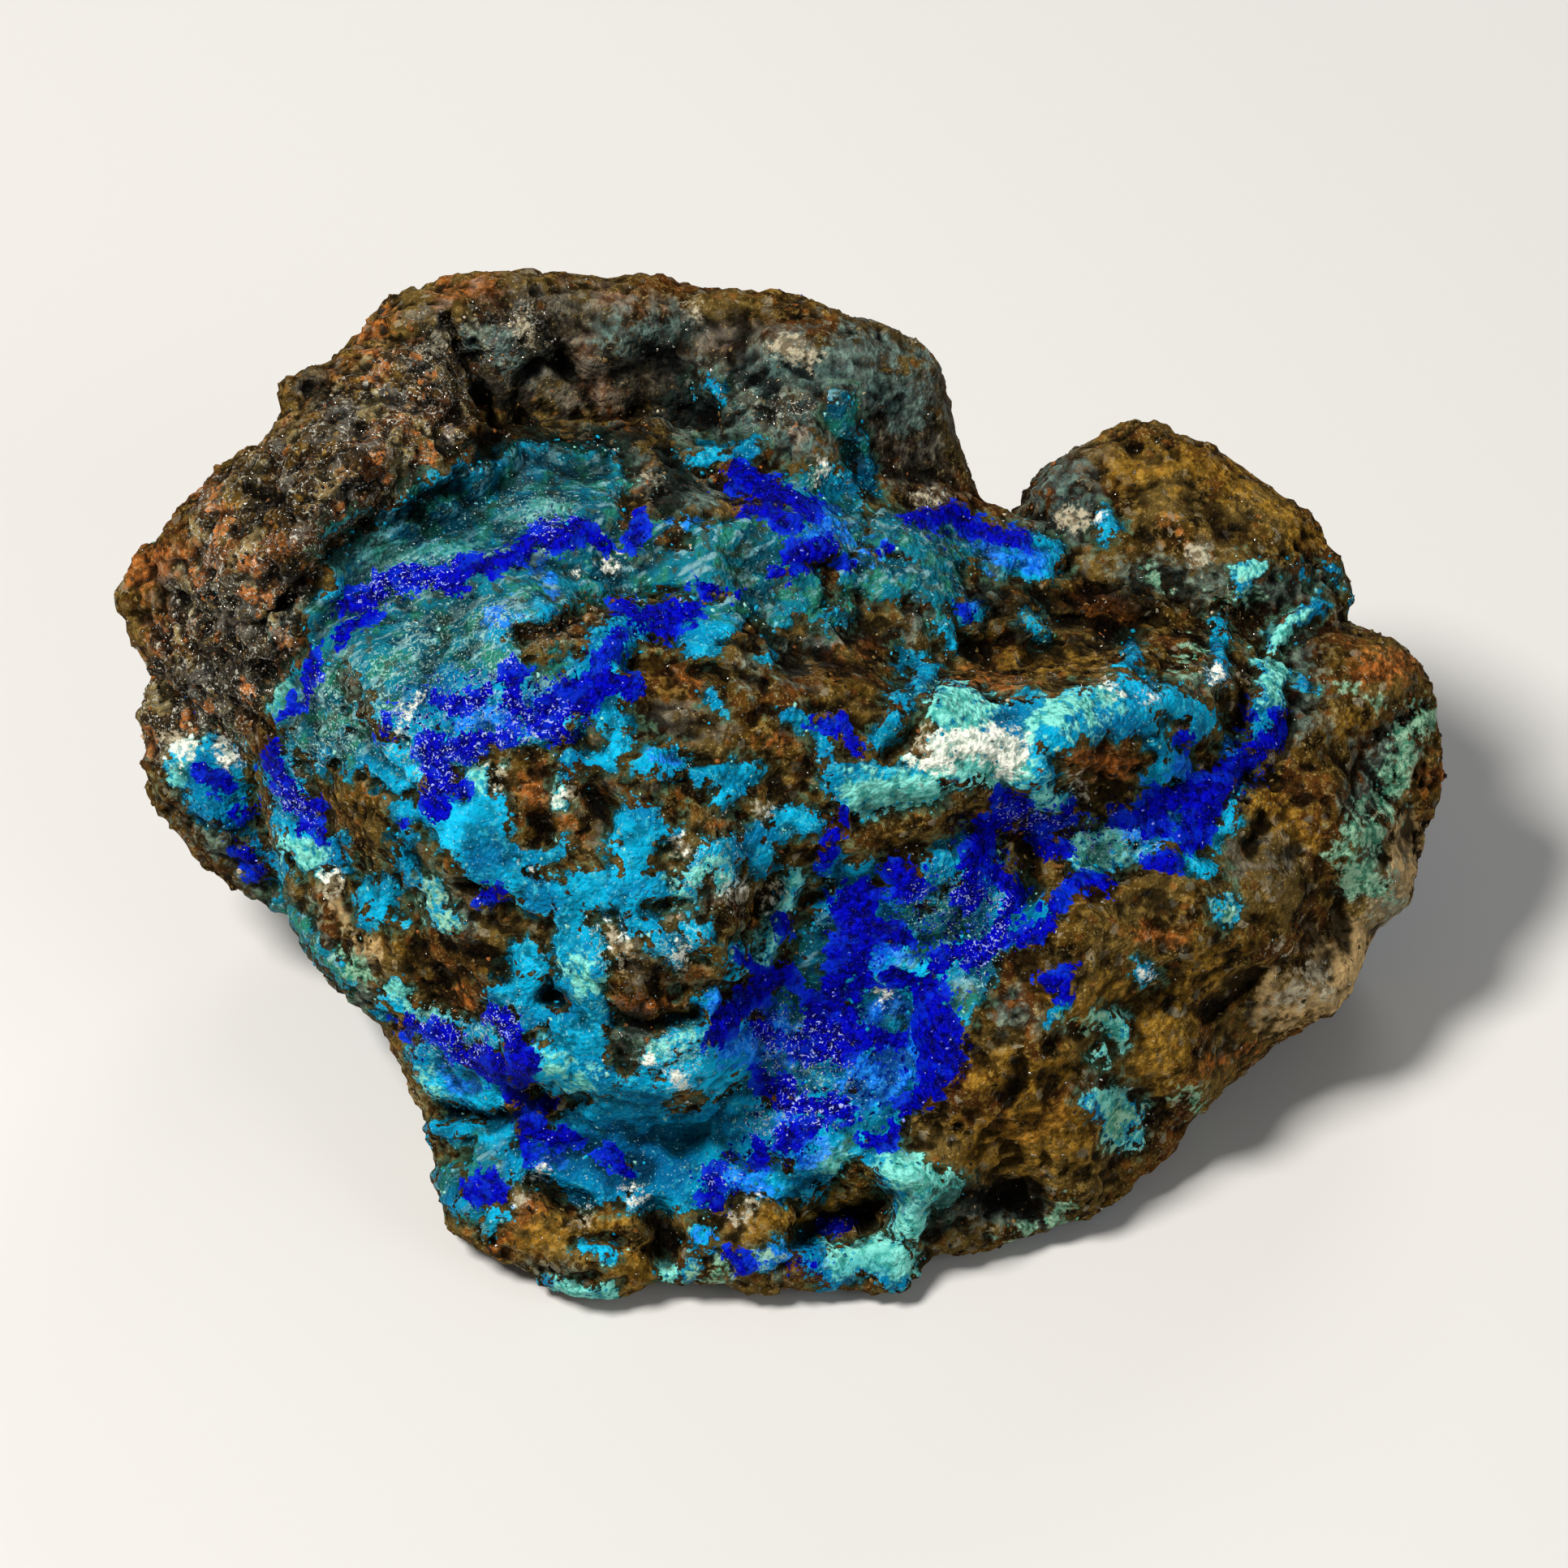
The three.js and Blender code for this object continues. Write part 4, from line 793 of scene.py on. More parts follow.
STAINED = (  # where copper has seeped into the ore and coloured it a dull blue-green
    (1.3, (-3.4, 14.2), (-0.6, 15.2), (2.4, 15.4), (4.4, 14.2)),
    (0.9, (-6.4, 16.8), (-4.2, 16.8)),
    (0.8, (-11.2, 16.6), (-9.8, 15.8)),
    (0.6, (2.6, 16.6), (4.4, 16.0), (5.2, 15.0)),
    (0.5, (-18.9, 5.6), (-18.4, 6.4)),
    (1.0, (-16.6, 4.4), (-15.8, 3.0)),
    (1.0, (-0.8, 13.2), (1.0, 12.6)),
    (1.0, (-3.4, 13.0), (-1.4, 12.6), (-2.4, 15.0)),
    (1.1, (9.8, 9.2), (11.2, 10.0), (10.2, 11.2)),
    (0.9, (13.0, 7.8), (15.4, 7.6), (18.4, 7.2), (20.0, 7.4)),
    (0.7, (16.2, 6.6), (16.2, 4.0), (15.2, 3.8)),
    (0.9, (19.2, 4.6), (19.2, 2.4), (19.0, 5.8)),
    (1.0, (22.8, 1.8), (21.8, -0.6), (21.8, -3.4), (22.6, -4.6)),
    (0.8, (7.6, 7.2), (6.4, 6.6), (4.6, 5.8)),
    (0.6, (11.4, -11.2), (13.2, -12.8)),
    (0.7, (8.4, -8.4), (9.8, -8.8)),
    (1.0, (-18.4, -4.8), (-17.0, -6.4), (-15.6, -8.0)),
    (1.2, (-12.0, 10.8), (-9.4, 12.0), (-6.2, 12.2)),
    (1.0, (-3.0, 10.4), (-4.4, 11.6)),
    (0.7, (1.6, 5.8), (2.8, 6.4), (-1.2, 4.4)),
    (0.7, (0.4, -4.0), (0.0, -5.2)),
    (0.9, (-12.8, -4.6), (-12.0, -5.0), (-13.6, -3.4)),
    (0.9, (-19.0, -4.0), (-20.4, -2.6), (-21.6, -1.4), (-22.4, 0.6)),
    (0.4, (-10.0, -18.0), (-7.4, -18.4)),
    (0.5, (-2.0, -18.0), (0.0, -17.8)),
    (0.8, (5.6, -16.4), (7.0, -15.6), (9.6, -16.4)),
    (0.8, (-5.6, -9.6), (-4.4, -11.6)),
    (0.7, (-2.2, -3.6), (-3.6, -5.0)),
)
MALACHITE = (
    (0.6, (24.0, 2.6), (23.2, 1.6), (22.8, 0.6), (22.4, -0.4)),
    (0.8, (22.0, -1.2), (21.4, -2.2), (21.1, -3.1), (22.0, -3.9)),
    (0.35, (15.1, 4.7), (15.3, 5.0)),
    (0.4, (17.2, 7.2), (16.6, 6.9)),
    (0.3, (16.3, -4.5), (16.5, -4.9)),
    (0.5, (12.0, -12.4), (12.8, -12.4), (12.4, -13.2)),
    (0.35, (14.9, -11.7), (15.4, -11.9)),
    (0.3, (8.4, -16.9), (9.6, -16.3), (10.6, -15.9)),
    (0.3, (10.3, -8.6), (12.2, -9.0)),
    (0.25, (13.4, 8.1), (14.2, 7.4)),
    (0.4, (-13.0, -4.6), (-12.5, -5.2), (-13.4, -3.7)),
    (0.3, (-0.4, -17.7), (-3.8, -18.3)),
    (0.3, (20.9, 3.8), (22.4, 2.8)),
    (0.35, (-16.6, -6.3), (-15.6, -7.3)),
    (0.3, (9.2, 6.3), (9.8, 5.6)),
)
CLAY = (
    (0.24, (-14.4, 2.1), (-14.0, 2.9), (-13.5, 3.3)),
    (0.25, (-6.6, 8.2), (-6.2, 8.3)),
    (0.16, (-7.5, 7.9), (-7.2, 7.9)),
    (0.3, (-10.9, 0.3), (-10.7, 0.0)),
    (0.3, (-8.3, -0.4), (-8.0, -0.4)),
    (0.22, (-17.0, -3.3), (-16.8, -3.8), (-17.1, -4.2)),
    (0.15, (-9.5, -3.3)),
    (0.22, (-4.0, -2.2), (-3.6, -2.6)),
    (0.35, (-2.1, -3.9), (-1.5, -4.1), (-2.0, -4.5)),
    (0.28, (-0.3, -3.9), (-0.5, -4.4)),
    (0.25, (-3.8, -6.2), (-3.7, -6.7)),
    (0.25, (-6.4, -5.4), (-6.0, -5.8), (-6.1, -6.4)),
    (0.16, (-0.9, -0.8), (-0.7, -1.1)),
    (0.2, (-5.3, -10.0), (-5.0, -10.3)),
    (0.28, (-4.2, -10.8), (-3.8, -11.3)),
    (0.5, (5.6, 1.6), (5.3, 0.9), (5.8, 0.9)),
    (0.75, (6.6, 1.5), (7.3, 1.5), (7.9, 1.4), (8.5, 1.1)),
    (0.3, (6.9, 2.0), (6.8, 1.0)),
    (0.25, (12.0, 3.8), (12.3, 3.6)),
    (0.22, (13.8, 3.2)),
    (0.22, (11.0, 0.1), (11.1, -0.4)),
    (0.25, (3.6, -7.4), (3.7, -7.8)),
    (0.45, (18.5, -8.2), (19.4, -7.5)),
    (0.35, (20.2, -7.8), (19.8, -6.9)),
    (0.28, (-5.9, -15.3), (-5.5, -15.4)),
    (0.22, (-9.4, -14.6), (-9.0, -14.5)),
    (0.2, (-10.0, -15.3), (-9.7, -15.5)),
    (0.4, (-21.0, 1.5), (-20.7, 1.0)),
    (0.5, (-22.8, 1.5), (-22.4, 1.2)),
    (0.35, (-9.7, 17.3), (-9.5, 16.7)),
    (0.28, (-3.5, 17.9), (-3.3, 17.6)),
    (0.25, (-13.3, 16.3), (-12.9, 16.6)),
    (0.5, (0.0, 16.2), (0.9, 15.9)),
    (0.22, (4.8, 10.7), (5.8, 10.7)),
    (0.25, (-4.9, 11.6), (-4.6, 11.2)),
    (0.28, (1.4, 11.7), (1.3, 12.1)),
    (0.3, (15.0, 8.7), (15.3, 8.3)),
    (0.2, (16.1, 4.4), (16.2, 3.8)),
    (0.25, (-1.9, -16.2), (-1.2, -15.6)),
    (0.25, (-7.8, -16.4), (-7.4, -16.3)),
    (0.2, (18.3, -6.2), (18.5, -6.0)),
    (0.2, (13.5, -7.1)),
    (0.3, (11.0, 10.2), (11.5, 10.0), (10.4, 9.9)),
)

# --- Weathered ore ------------------------------------------------------------------------
# The limonite between the crusts is not one colour: rust, ochre and slaty grey run into each
# other, and one edge is bleached. Its cracks, creases and recesses are darkened with painted shade.

RUST = (
    (0.8, (-24.0, 8.0), (-22.8, 8.4), (-21.6, 8.6)),
    (0.8, (-20.4, 8.5), (-18.8, 9.0), (-17.4, 9.3)),
    (0.32, (-20.4, 6.2), (-20.5, 5.6)),
    (0.5, (-21.8, 10.8), (-21.0, 10.2)),
    (0.8, (-15.4, 12.6), (-14.4, 13.6), (-12.8, 13.8)),
    (0.4, (-16.8, 15.4), (-16.5, 14.8)),
    (0.6, (-23.4, 5.2), (-22.8, 6.4)),
    (0.4, (-12.3, 16.4), (-11.5, 15.8)),
    (0.5, (-12.4, 18.3), (-10.9, 18.5)),
    (0.5, (-15.8, 16.9), (-15.0, 17.2)),
    (0.7, (-7.2, 16.4), (-7.0, 14.9)),
    (0.4, (-2.6, 16.6), (-1.8, 16.0)),
    (0.4, (-5.2, 17.6), (-6.6, 18.1)),
    (0.5, (-23.2, 6.0), (-22.6, 5.4)),
    (0.3, (-15.5, -0.2), (-14.7, -0.3)),
    (0.5, (-9.6, -0.1), (-9.0, -0.4)),
    (0.35, (-8.0, -1.7), (-7.4, -2.0)),
    (0.45, (-12.4, -7.9), (-11.8, -8.0)),
    (0.35, (-3.8, 4.0), (-3.3, 3.8), (-3.2, 3.2)),
    (0.45, (1.4, 5.4), (1.9, 4.8)),
    (0.3, (3.0, 5.2), (3.4, 5.0)),
    (0.5, (-5.6, -8.3), (-4.4, -8.0)),
    (0.3, (-3.7, -7.1), (-3.1, -7.2)),
    (0.4, (-2.8, -1.5), (-2.2, -1.6)),
    (0.35, (13.4, -5.4), (14.6, -5.9)),
    (0.5, (8.0, -12.9), (9.2, -12.8)),
    (0.5, (11.0, 6.8), (12.6, 6.6)),
    (0.4, (6.6, 3.9), (8.6, 3.6)),
    (0.5, (10.8, 1.2), (12.6, 0.6)),
    (0.6, (21.6, 4.2), (23.0, 4.4)),
    (0.25, (15.8, -10.6), (17.6, -9.8)),
    (0.5, (10.6, -11.6), (10.2, -12.6)),
    (0.5, (-10.4, -17.2), (-9.2, -15.6)),
    (0.3, (-2.6, -4.0), (-2.2, -4.4)),
    (0.4, (-0.6, 1.6), (0.6, 2.0)),
    (0.4, (14.6, 9.2), (14.2, 9.6)),
    (0.5, (23.8, 0.2), (24.6, 0.4)),
)
OCHRE = (
    (1.2, (-6.8, -18.0), (-5.6, -18.2)),
    (0.8, (-9.6, -17.2), (-6.6, -16.2)),
    (1.4, (7.6, -13.6), (9.4, -13.2), (11.2, -12.6)),
    (0.9, (7.4, -11.0), (10.4, -10.6)),
    (0.8, (-1.0, -16.4), (0.8, -15.8), (1.8, -15.4)),
    (0.9, (13.6, -7.8), (16.2, -6.8)),
    (0.6, (15.0, 12.0), (18.4, 10.4), (19.6, 9.2)),
    (0.7, (12.6, 11.6), (16.8, 12.0)),
    (0.5, (-8.4, 4.6), (-7.4, 5.0)),
    (0.5, (-5.0, 4.6), (-4.6, 3.6)),
    (0.4, (-1.6, 4.6), (-1.0, 5.0)),
    (0.5, (10.4, 4.6), (11.4, 4.4), (8.2, 5.0)),
    (0.6, (20.6, 2.2), (22.2, 2.4)),
    (0.8, (18.0, -0.6), (19.6, -2.0)),
    (1.2, (10.0, -8.6), (13.0, -8.0), (14.0, -10.4)),
    (0.4, (-15.1, -5.9), (-14.8, -6.2)),
    (0.6, (-16.6, 14.8), (-14.6, 15.6)),
    (0.9, (-20.2, 10.6), (-18.0, 9.8), (-16.6, 11.6), (-17.6, 13.4)),
    (0.4, (6.6, 7.0), (6.8, 8.4)),
)
GREY = (
    (1.6, (-21.6, 3.4), (-20.0, 4.6), (-19.0, 6.6)),
    (1.4, (-22.0, 7.0), (-20.4, 7.0)),
    (1.6, (4.0, 13.6), (5.2, 12.0), (5.0, 14.6)),
    (1.2, (-13.0, 16.6), (-10.0, 17.0), (-5.0, 15.6)),
    (1.4, (-2.0, 13.8), (0.6, 14.4), (3.6, 16.4)),
    (2.4, (-10.4, 16.4), (-5.6, 16.0), (-1.0, 15.2), (4.0, 13.6)),
    (0.7, (-17.0, 10.6), (-15.4, 12.4)),
    (0.9, (-17.6, 14.8), (-16.2, 13.4)),
    (1.0, (9.6, 10.2), (11.2, 10.6), (10.6, 12.0)),
    (1.4, (-3.6, 10.8), (-5.0, 11.4)),
    (0.4, (0.4, 3.8), (1.4, 5.4)),
    (0.8, (-4.6, 2.4), (-3.0, 2.0)),
    (0.5, (-6.8, -2.2), (-7.2, 2.0)),
    (0.8, (17.0, -2.4), (18.4, -3.0)),
    (0.8, (-5.6, -9.2), (-6.2, -9.4)),
    (0.6, (-4.8, -7.0), (-5.4, -6.8)),
)
PAINTED_SHADE = (  # painted shade: cracks, creases, pits and recesses darkened where shade falls
    (0.26, (-17.4, 7.8), (-16.4, 8.7), (-15.2, 9.6), (-13.7, 10.5), (-12.1, 11.5), (-11.0, 12.3)),
    (0.3, (-17.7, 14.9)),
    (0.5, (-19.8, 10.8), (-18.6, 10.2)),
    (0.4, (-18.6, 8.0), (-17.8, 7.4)),
    (0.3, (-18.8, 6.8), (-18.2, 5.6)),
    (0.4, (-11.6, 12.8), (-10.2, 13.2), (-8.6, 12.8), (-6.6, 12.7), (-5.2, 13.1)),
    (0.5, (-10.6, 14.6), (-9.4, 14.2)),
    (0.5, (-5.4, 14.2), (-3.6, 14.4), (-2.6, 13.6)),
    (0.3, (-9.4, 15.6), (-8.6, 17.0)),
    (0.3, (-5.4, 16.4), (-4.2, 16.0), (-3.6, 16.8)),
    (0.3, (-1.6, 15.2), (-0.4, 14.9)),
    (0.35, (-11.2, 14.8), (-10.8, 13.8)),
    (0.3, (-8.4, 16.4), (-8.1, 15.2)),
    (0.5, (-4.6, 12.4), (-3.8, 11.4), (-4.4, 10.6)),
    (0.3, (-7.1, -0.2), (-6.8, -0.9)),
    (0.3, (-9.1, -1.2), (-8.9, -1.6)),
    (0.35, (-12.3, -6.0), (-11.4, -6.4), (-10.6, -6.9)),
    (0.2, (-8.7, -7.8), (-8.3, -8.0)),
    (0.25, (-5.8, -8.8), (-4.6, -8.9), (-3.3, -8.7)),
    (0.25, (9.3, -2.6), (9.3, -4.0)),
    (0.3, (8.8, -10.9), (8.4, -11.5)),
    (0.3, (6.8, 5.1), (8.0, 5.0)),
    (0.3, (9.4, 5.0), (10.2, 5.0)),
    (0.35, (9.9, 6.3), (10.8, 6.2)),
    (0.35, (11.9, 6.0), (12.9, 5.6)),
    (0.45, (7.6, 6.6), (10.4, 6.9), (13.4, 6.8)),
    (0.3, (8.6, 5.6), (12.0, 5.2)),
    (0.25, (-1.6, 5.4), (0.6, 5.6)),
    (0.25, (1.3, 4.7), (2.1, 4.3), (2.7, 4.1)),
    (0.3, (-4.6, 15.3), (-3.4, 14.9)),
    (0.1, (-0.8, 11.0), (-0.2, 10.6)),
    (0.2, (-3.4, 4.2), (-2.4, 4.0)),
    (0.2, (-9.9, 5.7), (-8.6, 5.9)),
    (0.2, (-7.6, 1.7), (-7.2, 1.4)),
    (0.35, (8.4, -15.4), (9.2, -15.8)),
    (0.45, (-4.7, -16.4), (-4.2, -17.2)),
    (0.4, (0.9, -16.8), (1.8, -16.3), (3.0, -16.3)),
    (0.2, (-9.8, -11.5), (-9.4, -11.7)),
    (0.25, (-9.0, -15.2), (-8.6, -15.5)),
    (0.2, (-12.2, -12.1), (-11.2, -12.3), (-10.2, -12.4)),
    (0.2, (17.6, -2.0), (17.5, -2.5)),
    (0.2, (16.0, -8.3), (16.6, -7.8)),
    (0.25, (17.0, 3.2), (17.0, 2.4)),
    (0.2, (17.3, 0.4), (17.6, 0.0)),
    (0.2, (-14.5, -2.0), (-13.7, -2.9)),
    (0.25, (-13.4, -6.0), (-13.8, -6.6)),
    (0.2, (-10.6, -4.9), (-10.2, -5.4)),
    (0.2, (-6.0, -9.9), (-5.8, -10.4)),
    (0.5, (6.0, -15.6), (7.6, -15.4), (9.4, -15.4)),
    (0.4, (-16.2, 12.2), (-15.4, 11.4)),
    (0.35, (-20.8, 13.2)),
    (0.4, (-19.0, 10.6), (-18.4, 9.8)),
    (0.4, (-18.6, 5.0), (-19.4, 4.0)),
)
GLITTERING = (  # where flakes of specular iron ore lie in the limonite, and glints are painted on it
    (2.6, (-22.0, 3.0), (-20.4, 6.0), (-19.6, 9.4), (-16.4, 11.6), (-14.2, 13.8)),
    (1.2, (-13.2, 16.0), (-9.8, 17.0)),
    (1.0, (-2.0, 14.6), (0.4, 13.8)),
    (0.8, (-12.0, 6.0), (-8.0, 6.0)),
)
BLEACHED = (
    (1.1, (18.4, -8.2), (20.2, -7.8), (21.2, -7.2), (21.4, -5.6)),
    (1.0, (22.4, -4.6), (23.2, -3.6), (23.0, -2.0)),
    (0.5, (20.2, -6.6), (20.0, -5.8)),
    (0.5, (-17.0, -4.2), (-16.2, -5.0), (-15.4, -6.6)),
    (0.4, (-13.8, -10.2), (-13.4, -11.6)),
    (0.4, (-6.2, -5.8), (-5.9, -6.6)),
)


# --- Skin of the stone --------------------------------------------------------------------
# One closed surface over the ore and its crusts. Bare ore is chipped and pitted, the
# chrysocolla stands on it smooth and beaded, and the azurite bed is sugary.

MINERALS = {
    "turquoise": TURQUOISE, "azurite": AZURITE, "malachite": MALACHITE, "clay": CLAY,
    "stained": STAINED, "teal": TEAL, "pale": PALE, "sky": SKY, "streaked": STREAKED,
    "sprinkled": SPRINKLED, "rust": RUST, "ochre": OCHRE, "grey": GREY, "bleached": BLEACHED,
    "dark": PAINTED_SHADE, "deep": DEEP, "calm": CALM, "glitter": GLITTERING,
}


def minerals(points, normals):
    """How deep each point lies in each mineral, in millimetres, below 0 outside it. On the
    showing side the depth comes from strokes, whose outlines wander by up to a third of a
    millimetre; round the hidden sides it comes from broad lumps of noise."""
    at = points / MM
    side = seen_side(points)
    wander = np.stack([rough(at, 1.1, 31, 3), rough(at, 1.1, 47, 3)], axis=1)
    side = side + 0.24 * wander
    shown = rising(normals @ OUT_OF_SIDE, -0.35, -0.05)
    broad = rough(at + 40, 7.0, 61, 4)
    second = rough(at - 25, 4.2, 71, 4)
    spots = rough(at + 11, 1.6, 83, 3)
    drawn = {name: depth_inside(side, strokes) for name, strokes in MINERALS.items()}
    drawn["turquoise"] = np.minimum(drawn["turquoise"], -depth_inside(side, WINDOWS))
    grown = {
        "turquoise": 1.6 * (broad - 0.22) + 0.9 * second + 0.3 * spots,
        "azurite": 1.5 * (broad - 0.55) + 0.9 * second + 0.5 * spots,
        "malachite": 1.6 * (second - 0.5) - 0.8 * broad,
        "clay": 0.9 * (spots - 0.75) + 0.5 * second,
        "stained": 1.5 * (broad + 0.6 * second - 0.1),
        "teal": 1.4 * second,
        "pale": 1.4 * (spots - 0.3),
        "sky": -1.5 * second - 0.4,
        "streaked": 1.5 * (spots - 0.4),
        "sprinkled": 1.5 * (broad - 0.35) + 0.9 * second,
        "rust": 1.4 * (second - 0.35) + 0.4 * spots,
        "ochre": -1.4 * (broad + 0.25),
        "grey": 1.4 * (-second - 0.3),
        "bleached": -1.0 - broad,
        "dark": 0.9 * (-second - 0.8),
        "deep": 1.4 * (second - 0.4),
        "calm": np.full(len(points), -FARTHEST, np.float32),
        "glitter": 1.5 * (-second - 0.2),
    }
    return {name: shown * drawn[name] + (1 - shown) * grown[name] for name in drawn}


def raised(points, normals):
    """The stone's points after everything that shapes its skin. Strokes raise or hollow it
    outwards from the showing side; crags, pits, crust and beads move it along its normals;
    and the flat underside, which is held, is only chipped upwards."""
    at = points / MM
    side = seen_side(points)
    facing = normals @ OUT_OF_SIDE
    shown = rising(facing, 0.0, 0.4)
    held = rising(at[:, 2], 0.05, 0.9)
    carved = np.zeros(len(points), np.float32)
    wandering = side + 0.2 * np.stack([rough(at, 1.4, 5, 2), rough(at, 1.4, 9, 2)], axis=1)
    for height, half_width, *line in RELIEF:
        slope = 1.5 * half_width
        carved += height * rising(depth_inside(wandering, [(slope, *line)]) / slope, 0, 1)

    depth = minerals(points, normals)
    bed = rising(depth["azurite"], -0.05, 0.15)
    skin = np.maximum(*(rising(depth[crust], -0.06, 0.12) for crust in ("turquoise", "azurite")))
    calm = rising(depth["calm"], -0.8, 0.8)
    angular = rising(depth["glitter"], -1.0, 0.6)
    crags = 0.24 * shards(at, 2.3, 3) + 0.18 * shards(at, 1.05, 13) + 0.12 * shards(at, 0.5, 23)
    pits = (0.8 * angular - 1) * 0.32 * rising(-rough(at, 1.0, 91, 3), 0.45, 0.85)
    grit = 0.08 * rough(at, 0.4, 101, 2)
    bare = (1 - 0.6 * calm + 0.6 * angular) * crags + grit + (1 - 0.85 * calm) * pits
    beaded = 0.2 * np.abs(lumps(at, 0.8, 117)) + 0.1 * np.abs(lumps(at, 0.4, 121))
    waxy = 0.14 * rough(at, 1.9, 111, 2) + 0.08 * shards(at, 0.9, 115)
    waxy = waxy + (1 - 0.7 * calm) * beaded - 0.06
    sugary = 0.14 * rough(at, 1.5, 131, 2) + 0.1 * shards(at, 0.36, 141)
    crusted = CRUST + waxy + bed * (CRYSTAL_BED + sugary - waxy)
    bent = 0.7 * rising(-facing, 0.05, 0.5) * rough(at, 6.5, 151, 2)

    height = (1 - skin) * bare + skin * crusted + bent
    outwards = (held * shown * carved)[:, None] * OUT_OF_SIDE
    moved = at + (held * height)[:, None] * normals + outwards
    moved += ((1 - held) * 0.07 * rough(at, 0.5, 167, 2))[:, None] * normals
    chipped = 0.26 + 0.2 * shards(at, 1.6, 161) + 0.12 * shards(at, 0.6, 163)
    chipped = chipped + 0.08 * rough(at, 0.4, 165, 2)
    moved[:, 2] += (1 - held) * np.maximum(chipped, 0.0)
    moved[:, 2] = np.maximum(moved[:, 2], 0.0)
    return moved * MM


place_vertices(ore, raised(vertex_array(ore), vertex_normals(ore)))
place_vertices(ore, evened(vertex_array(ore), ore, 1))
kept = MOST_TRIANGLES / (2 * len(ore.polygons))
ore = with_modifier(ore, "DECIMATE", ratio=kept, use_collapse_triangulate=True)
skin_points = vertex_array(ore)
skin_points[:, 2] = np.maximum(skin_points[:, 2], 0.0)
place_vertices(ore, skin_points)
skin_normals = vertex_normals(ore)
skin_depth = minerals(skin_points, skin_normals)


def hollowness(mesh, points, normals, rounds):
    """How far each point lies below the mean of its surroundings, in millimetres."""
    return ((evened(points, mesh, rounds) - points) * normals).sum(axis=1) / MM


HOLLOW_ROUNDS = 12  # how widely the surroundings of a hollow are evened
# the skin's finish paints shade into these hollows and lightens the rises from it
skin_depth["hollow"] = hollowness(ore, skin_points, skin_normals, HOLLOW_ROUNDS)


def store(mesh, depths):
    """Keeps one number for each vertex under each name, which the materials read."""
    for name, values in depths.items():
        layer = mesh.attributes.new(name, "FLOAT", "POINT")
        layer.data.foreach_set("value", np.ascontiguousarray(values, np.float32))


def shade_smooth(mesh):
    mesh.polygons.foreach_set("use_smooth", np.ones(len(mesh.polygons), bool))


def without_specks(mesh, name):
    """A copy of the mesh's largest joined part, because thinning can leave loose faces. Each
    vertex takes the lowest number among its neighbours, over and over, until every part
    holds one number."""
    first, second = edge_ends(mesh)
    part = np.arange(len(mesh.vertices))
    while (part[first] != part[second]).any():
        lowest = np.minimum(part[first], part[second])
        np.minimum.at(part, first, lowest)
        np.minimum.at(part, second, lowest)
        part = part[part]
    loose = np.flatnonzero(part != np.bincount(part).argmax()).tolist()
    cleaned = bmesh.new()
    cleaned.from_mesh(mesh)
    cleaned.verts.ensure_lookup_table()
    bmesh.ops.delete(cleaned, geom=[cleaned.verts[number] for number in loose], context="VERTS")
    largest = bpy.data.meshes.new(name)
    cleaned.to_mesh(largest)
    cleaned.free()
    return largest


store(ore, skin_depth)
shade_smooth(ore)
stone = bpy.data.objects.new("stone_skin", without_specks(ore, "stone_skin"))
bpy.context.scene.collection.objects.link(stone)
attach(stone, "root")
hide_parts("ore_stone")

# --- Colours of the skin ------------------------------------------------------------------
# Every mineral keeps its own colours: brown, rust and ochre ore, turquoise to teal
# chrysocolla, green malachite, white clay and deep blue azurite. They meet along ragged
# borders, and the finest grain is only colour and bump.


def pigment(red, green, blue):
    """A colour given as screen levels 0 to 255, turned into light: ((c + 0.055) / 1.055)^2.4."""
    levels = np.array([red, green, blue]) / 255
    light = np.where(levels > 0.04045, ((levels + 0.055) / 1.055) ** 2.4, levels / 12.92)
    return (*(float(value) for value in light), 1.0)


def add_node(tree, kind, feeds=(), output=0, **settings):
    """Adds one node, feeds each named input a socket or a value, and gives one output."""
    node = tree.nodes.new("ShaderNode" + kind)
    for name, value in settings.items():
        setattr(node, name, value)
    for name, value in dict(feeds).items():
        if isinstance(value, bpy.types.NodeSocket):
            tree.links.new(value, node.inputs[name])
        else:
            node.inputs[name].default_value = value
    return node.outputs[output]


def worked(tree, operation, first, second=0.0, third=0.0):
    return add_node(tree, "Math", {0: first, 1: second, 2: third}, operation=operation)


def laid_over(tree, share, under, over, **settings):
    feeds = {0: share, 6: under, 7: over}
    return add_node(tree, "Mix", feeds, 2, data_type="RGBA", **settings)


def darkened(tree, colour, by, share=1.0):
    """The colour times a number or another colour."""
    return laid_over(tree, share, colour, by, blend_type="MULTIPLY")


def place_on(tree, *shifts):
    """The place on the object in metres, moved by each shift in turn."""
    place = add_node(tree, "TexCoord", output="Object")
    for shift in shifts:
        place = add_node(tree, "VectorMath", {0: place, 1: shift}, operation="ADD")
    return place


def noise(tree, place, size, detail, coarse, output=0, tangle=0.0):
    feeds = {"Vector": place, "Scale": 1 / (size * MM), "Detail": detail}
    feeds.update(Roughness=coarse, Distortion=tangle)
    return add_node(tree, "TexNoise", feeds, output)


def mottle(tree, size, detail=3.0, seed=0, tangle=0.0):
    """Cloudy noise about 0.5, its largest clouds `size` millimetres apart, drawn into threads
    by tangle."""
    place = place_on(tree, (0.013 * seed, 0.007 * seed, 0))
    return noise(tree, place, size, detail, 0.55, tangle=tangle)


COMBED = (0.82, 0.405, 0.405)  # the way the teal slope is streaked


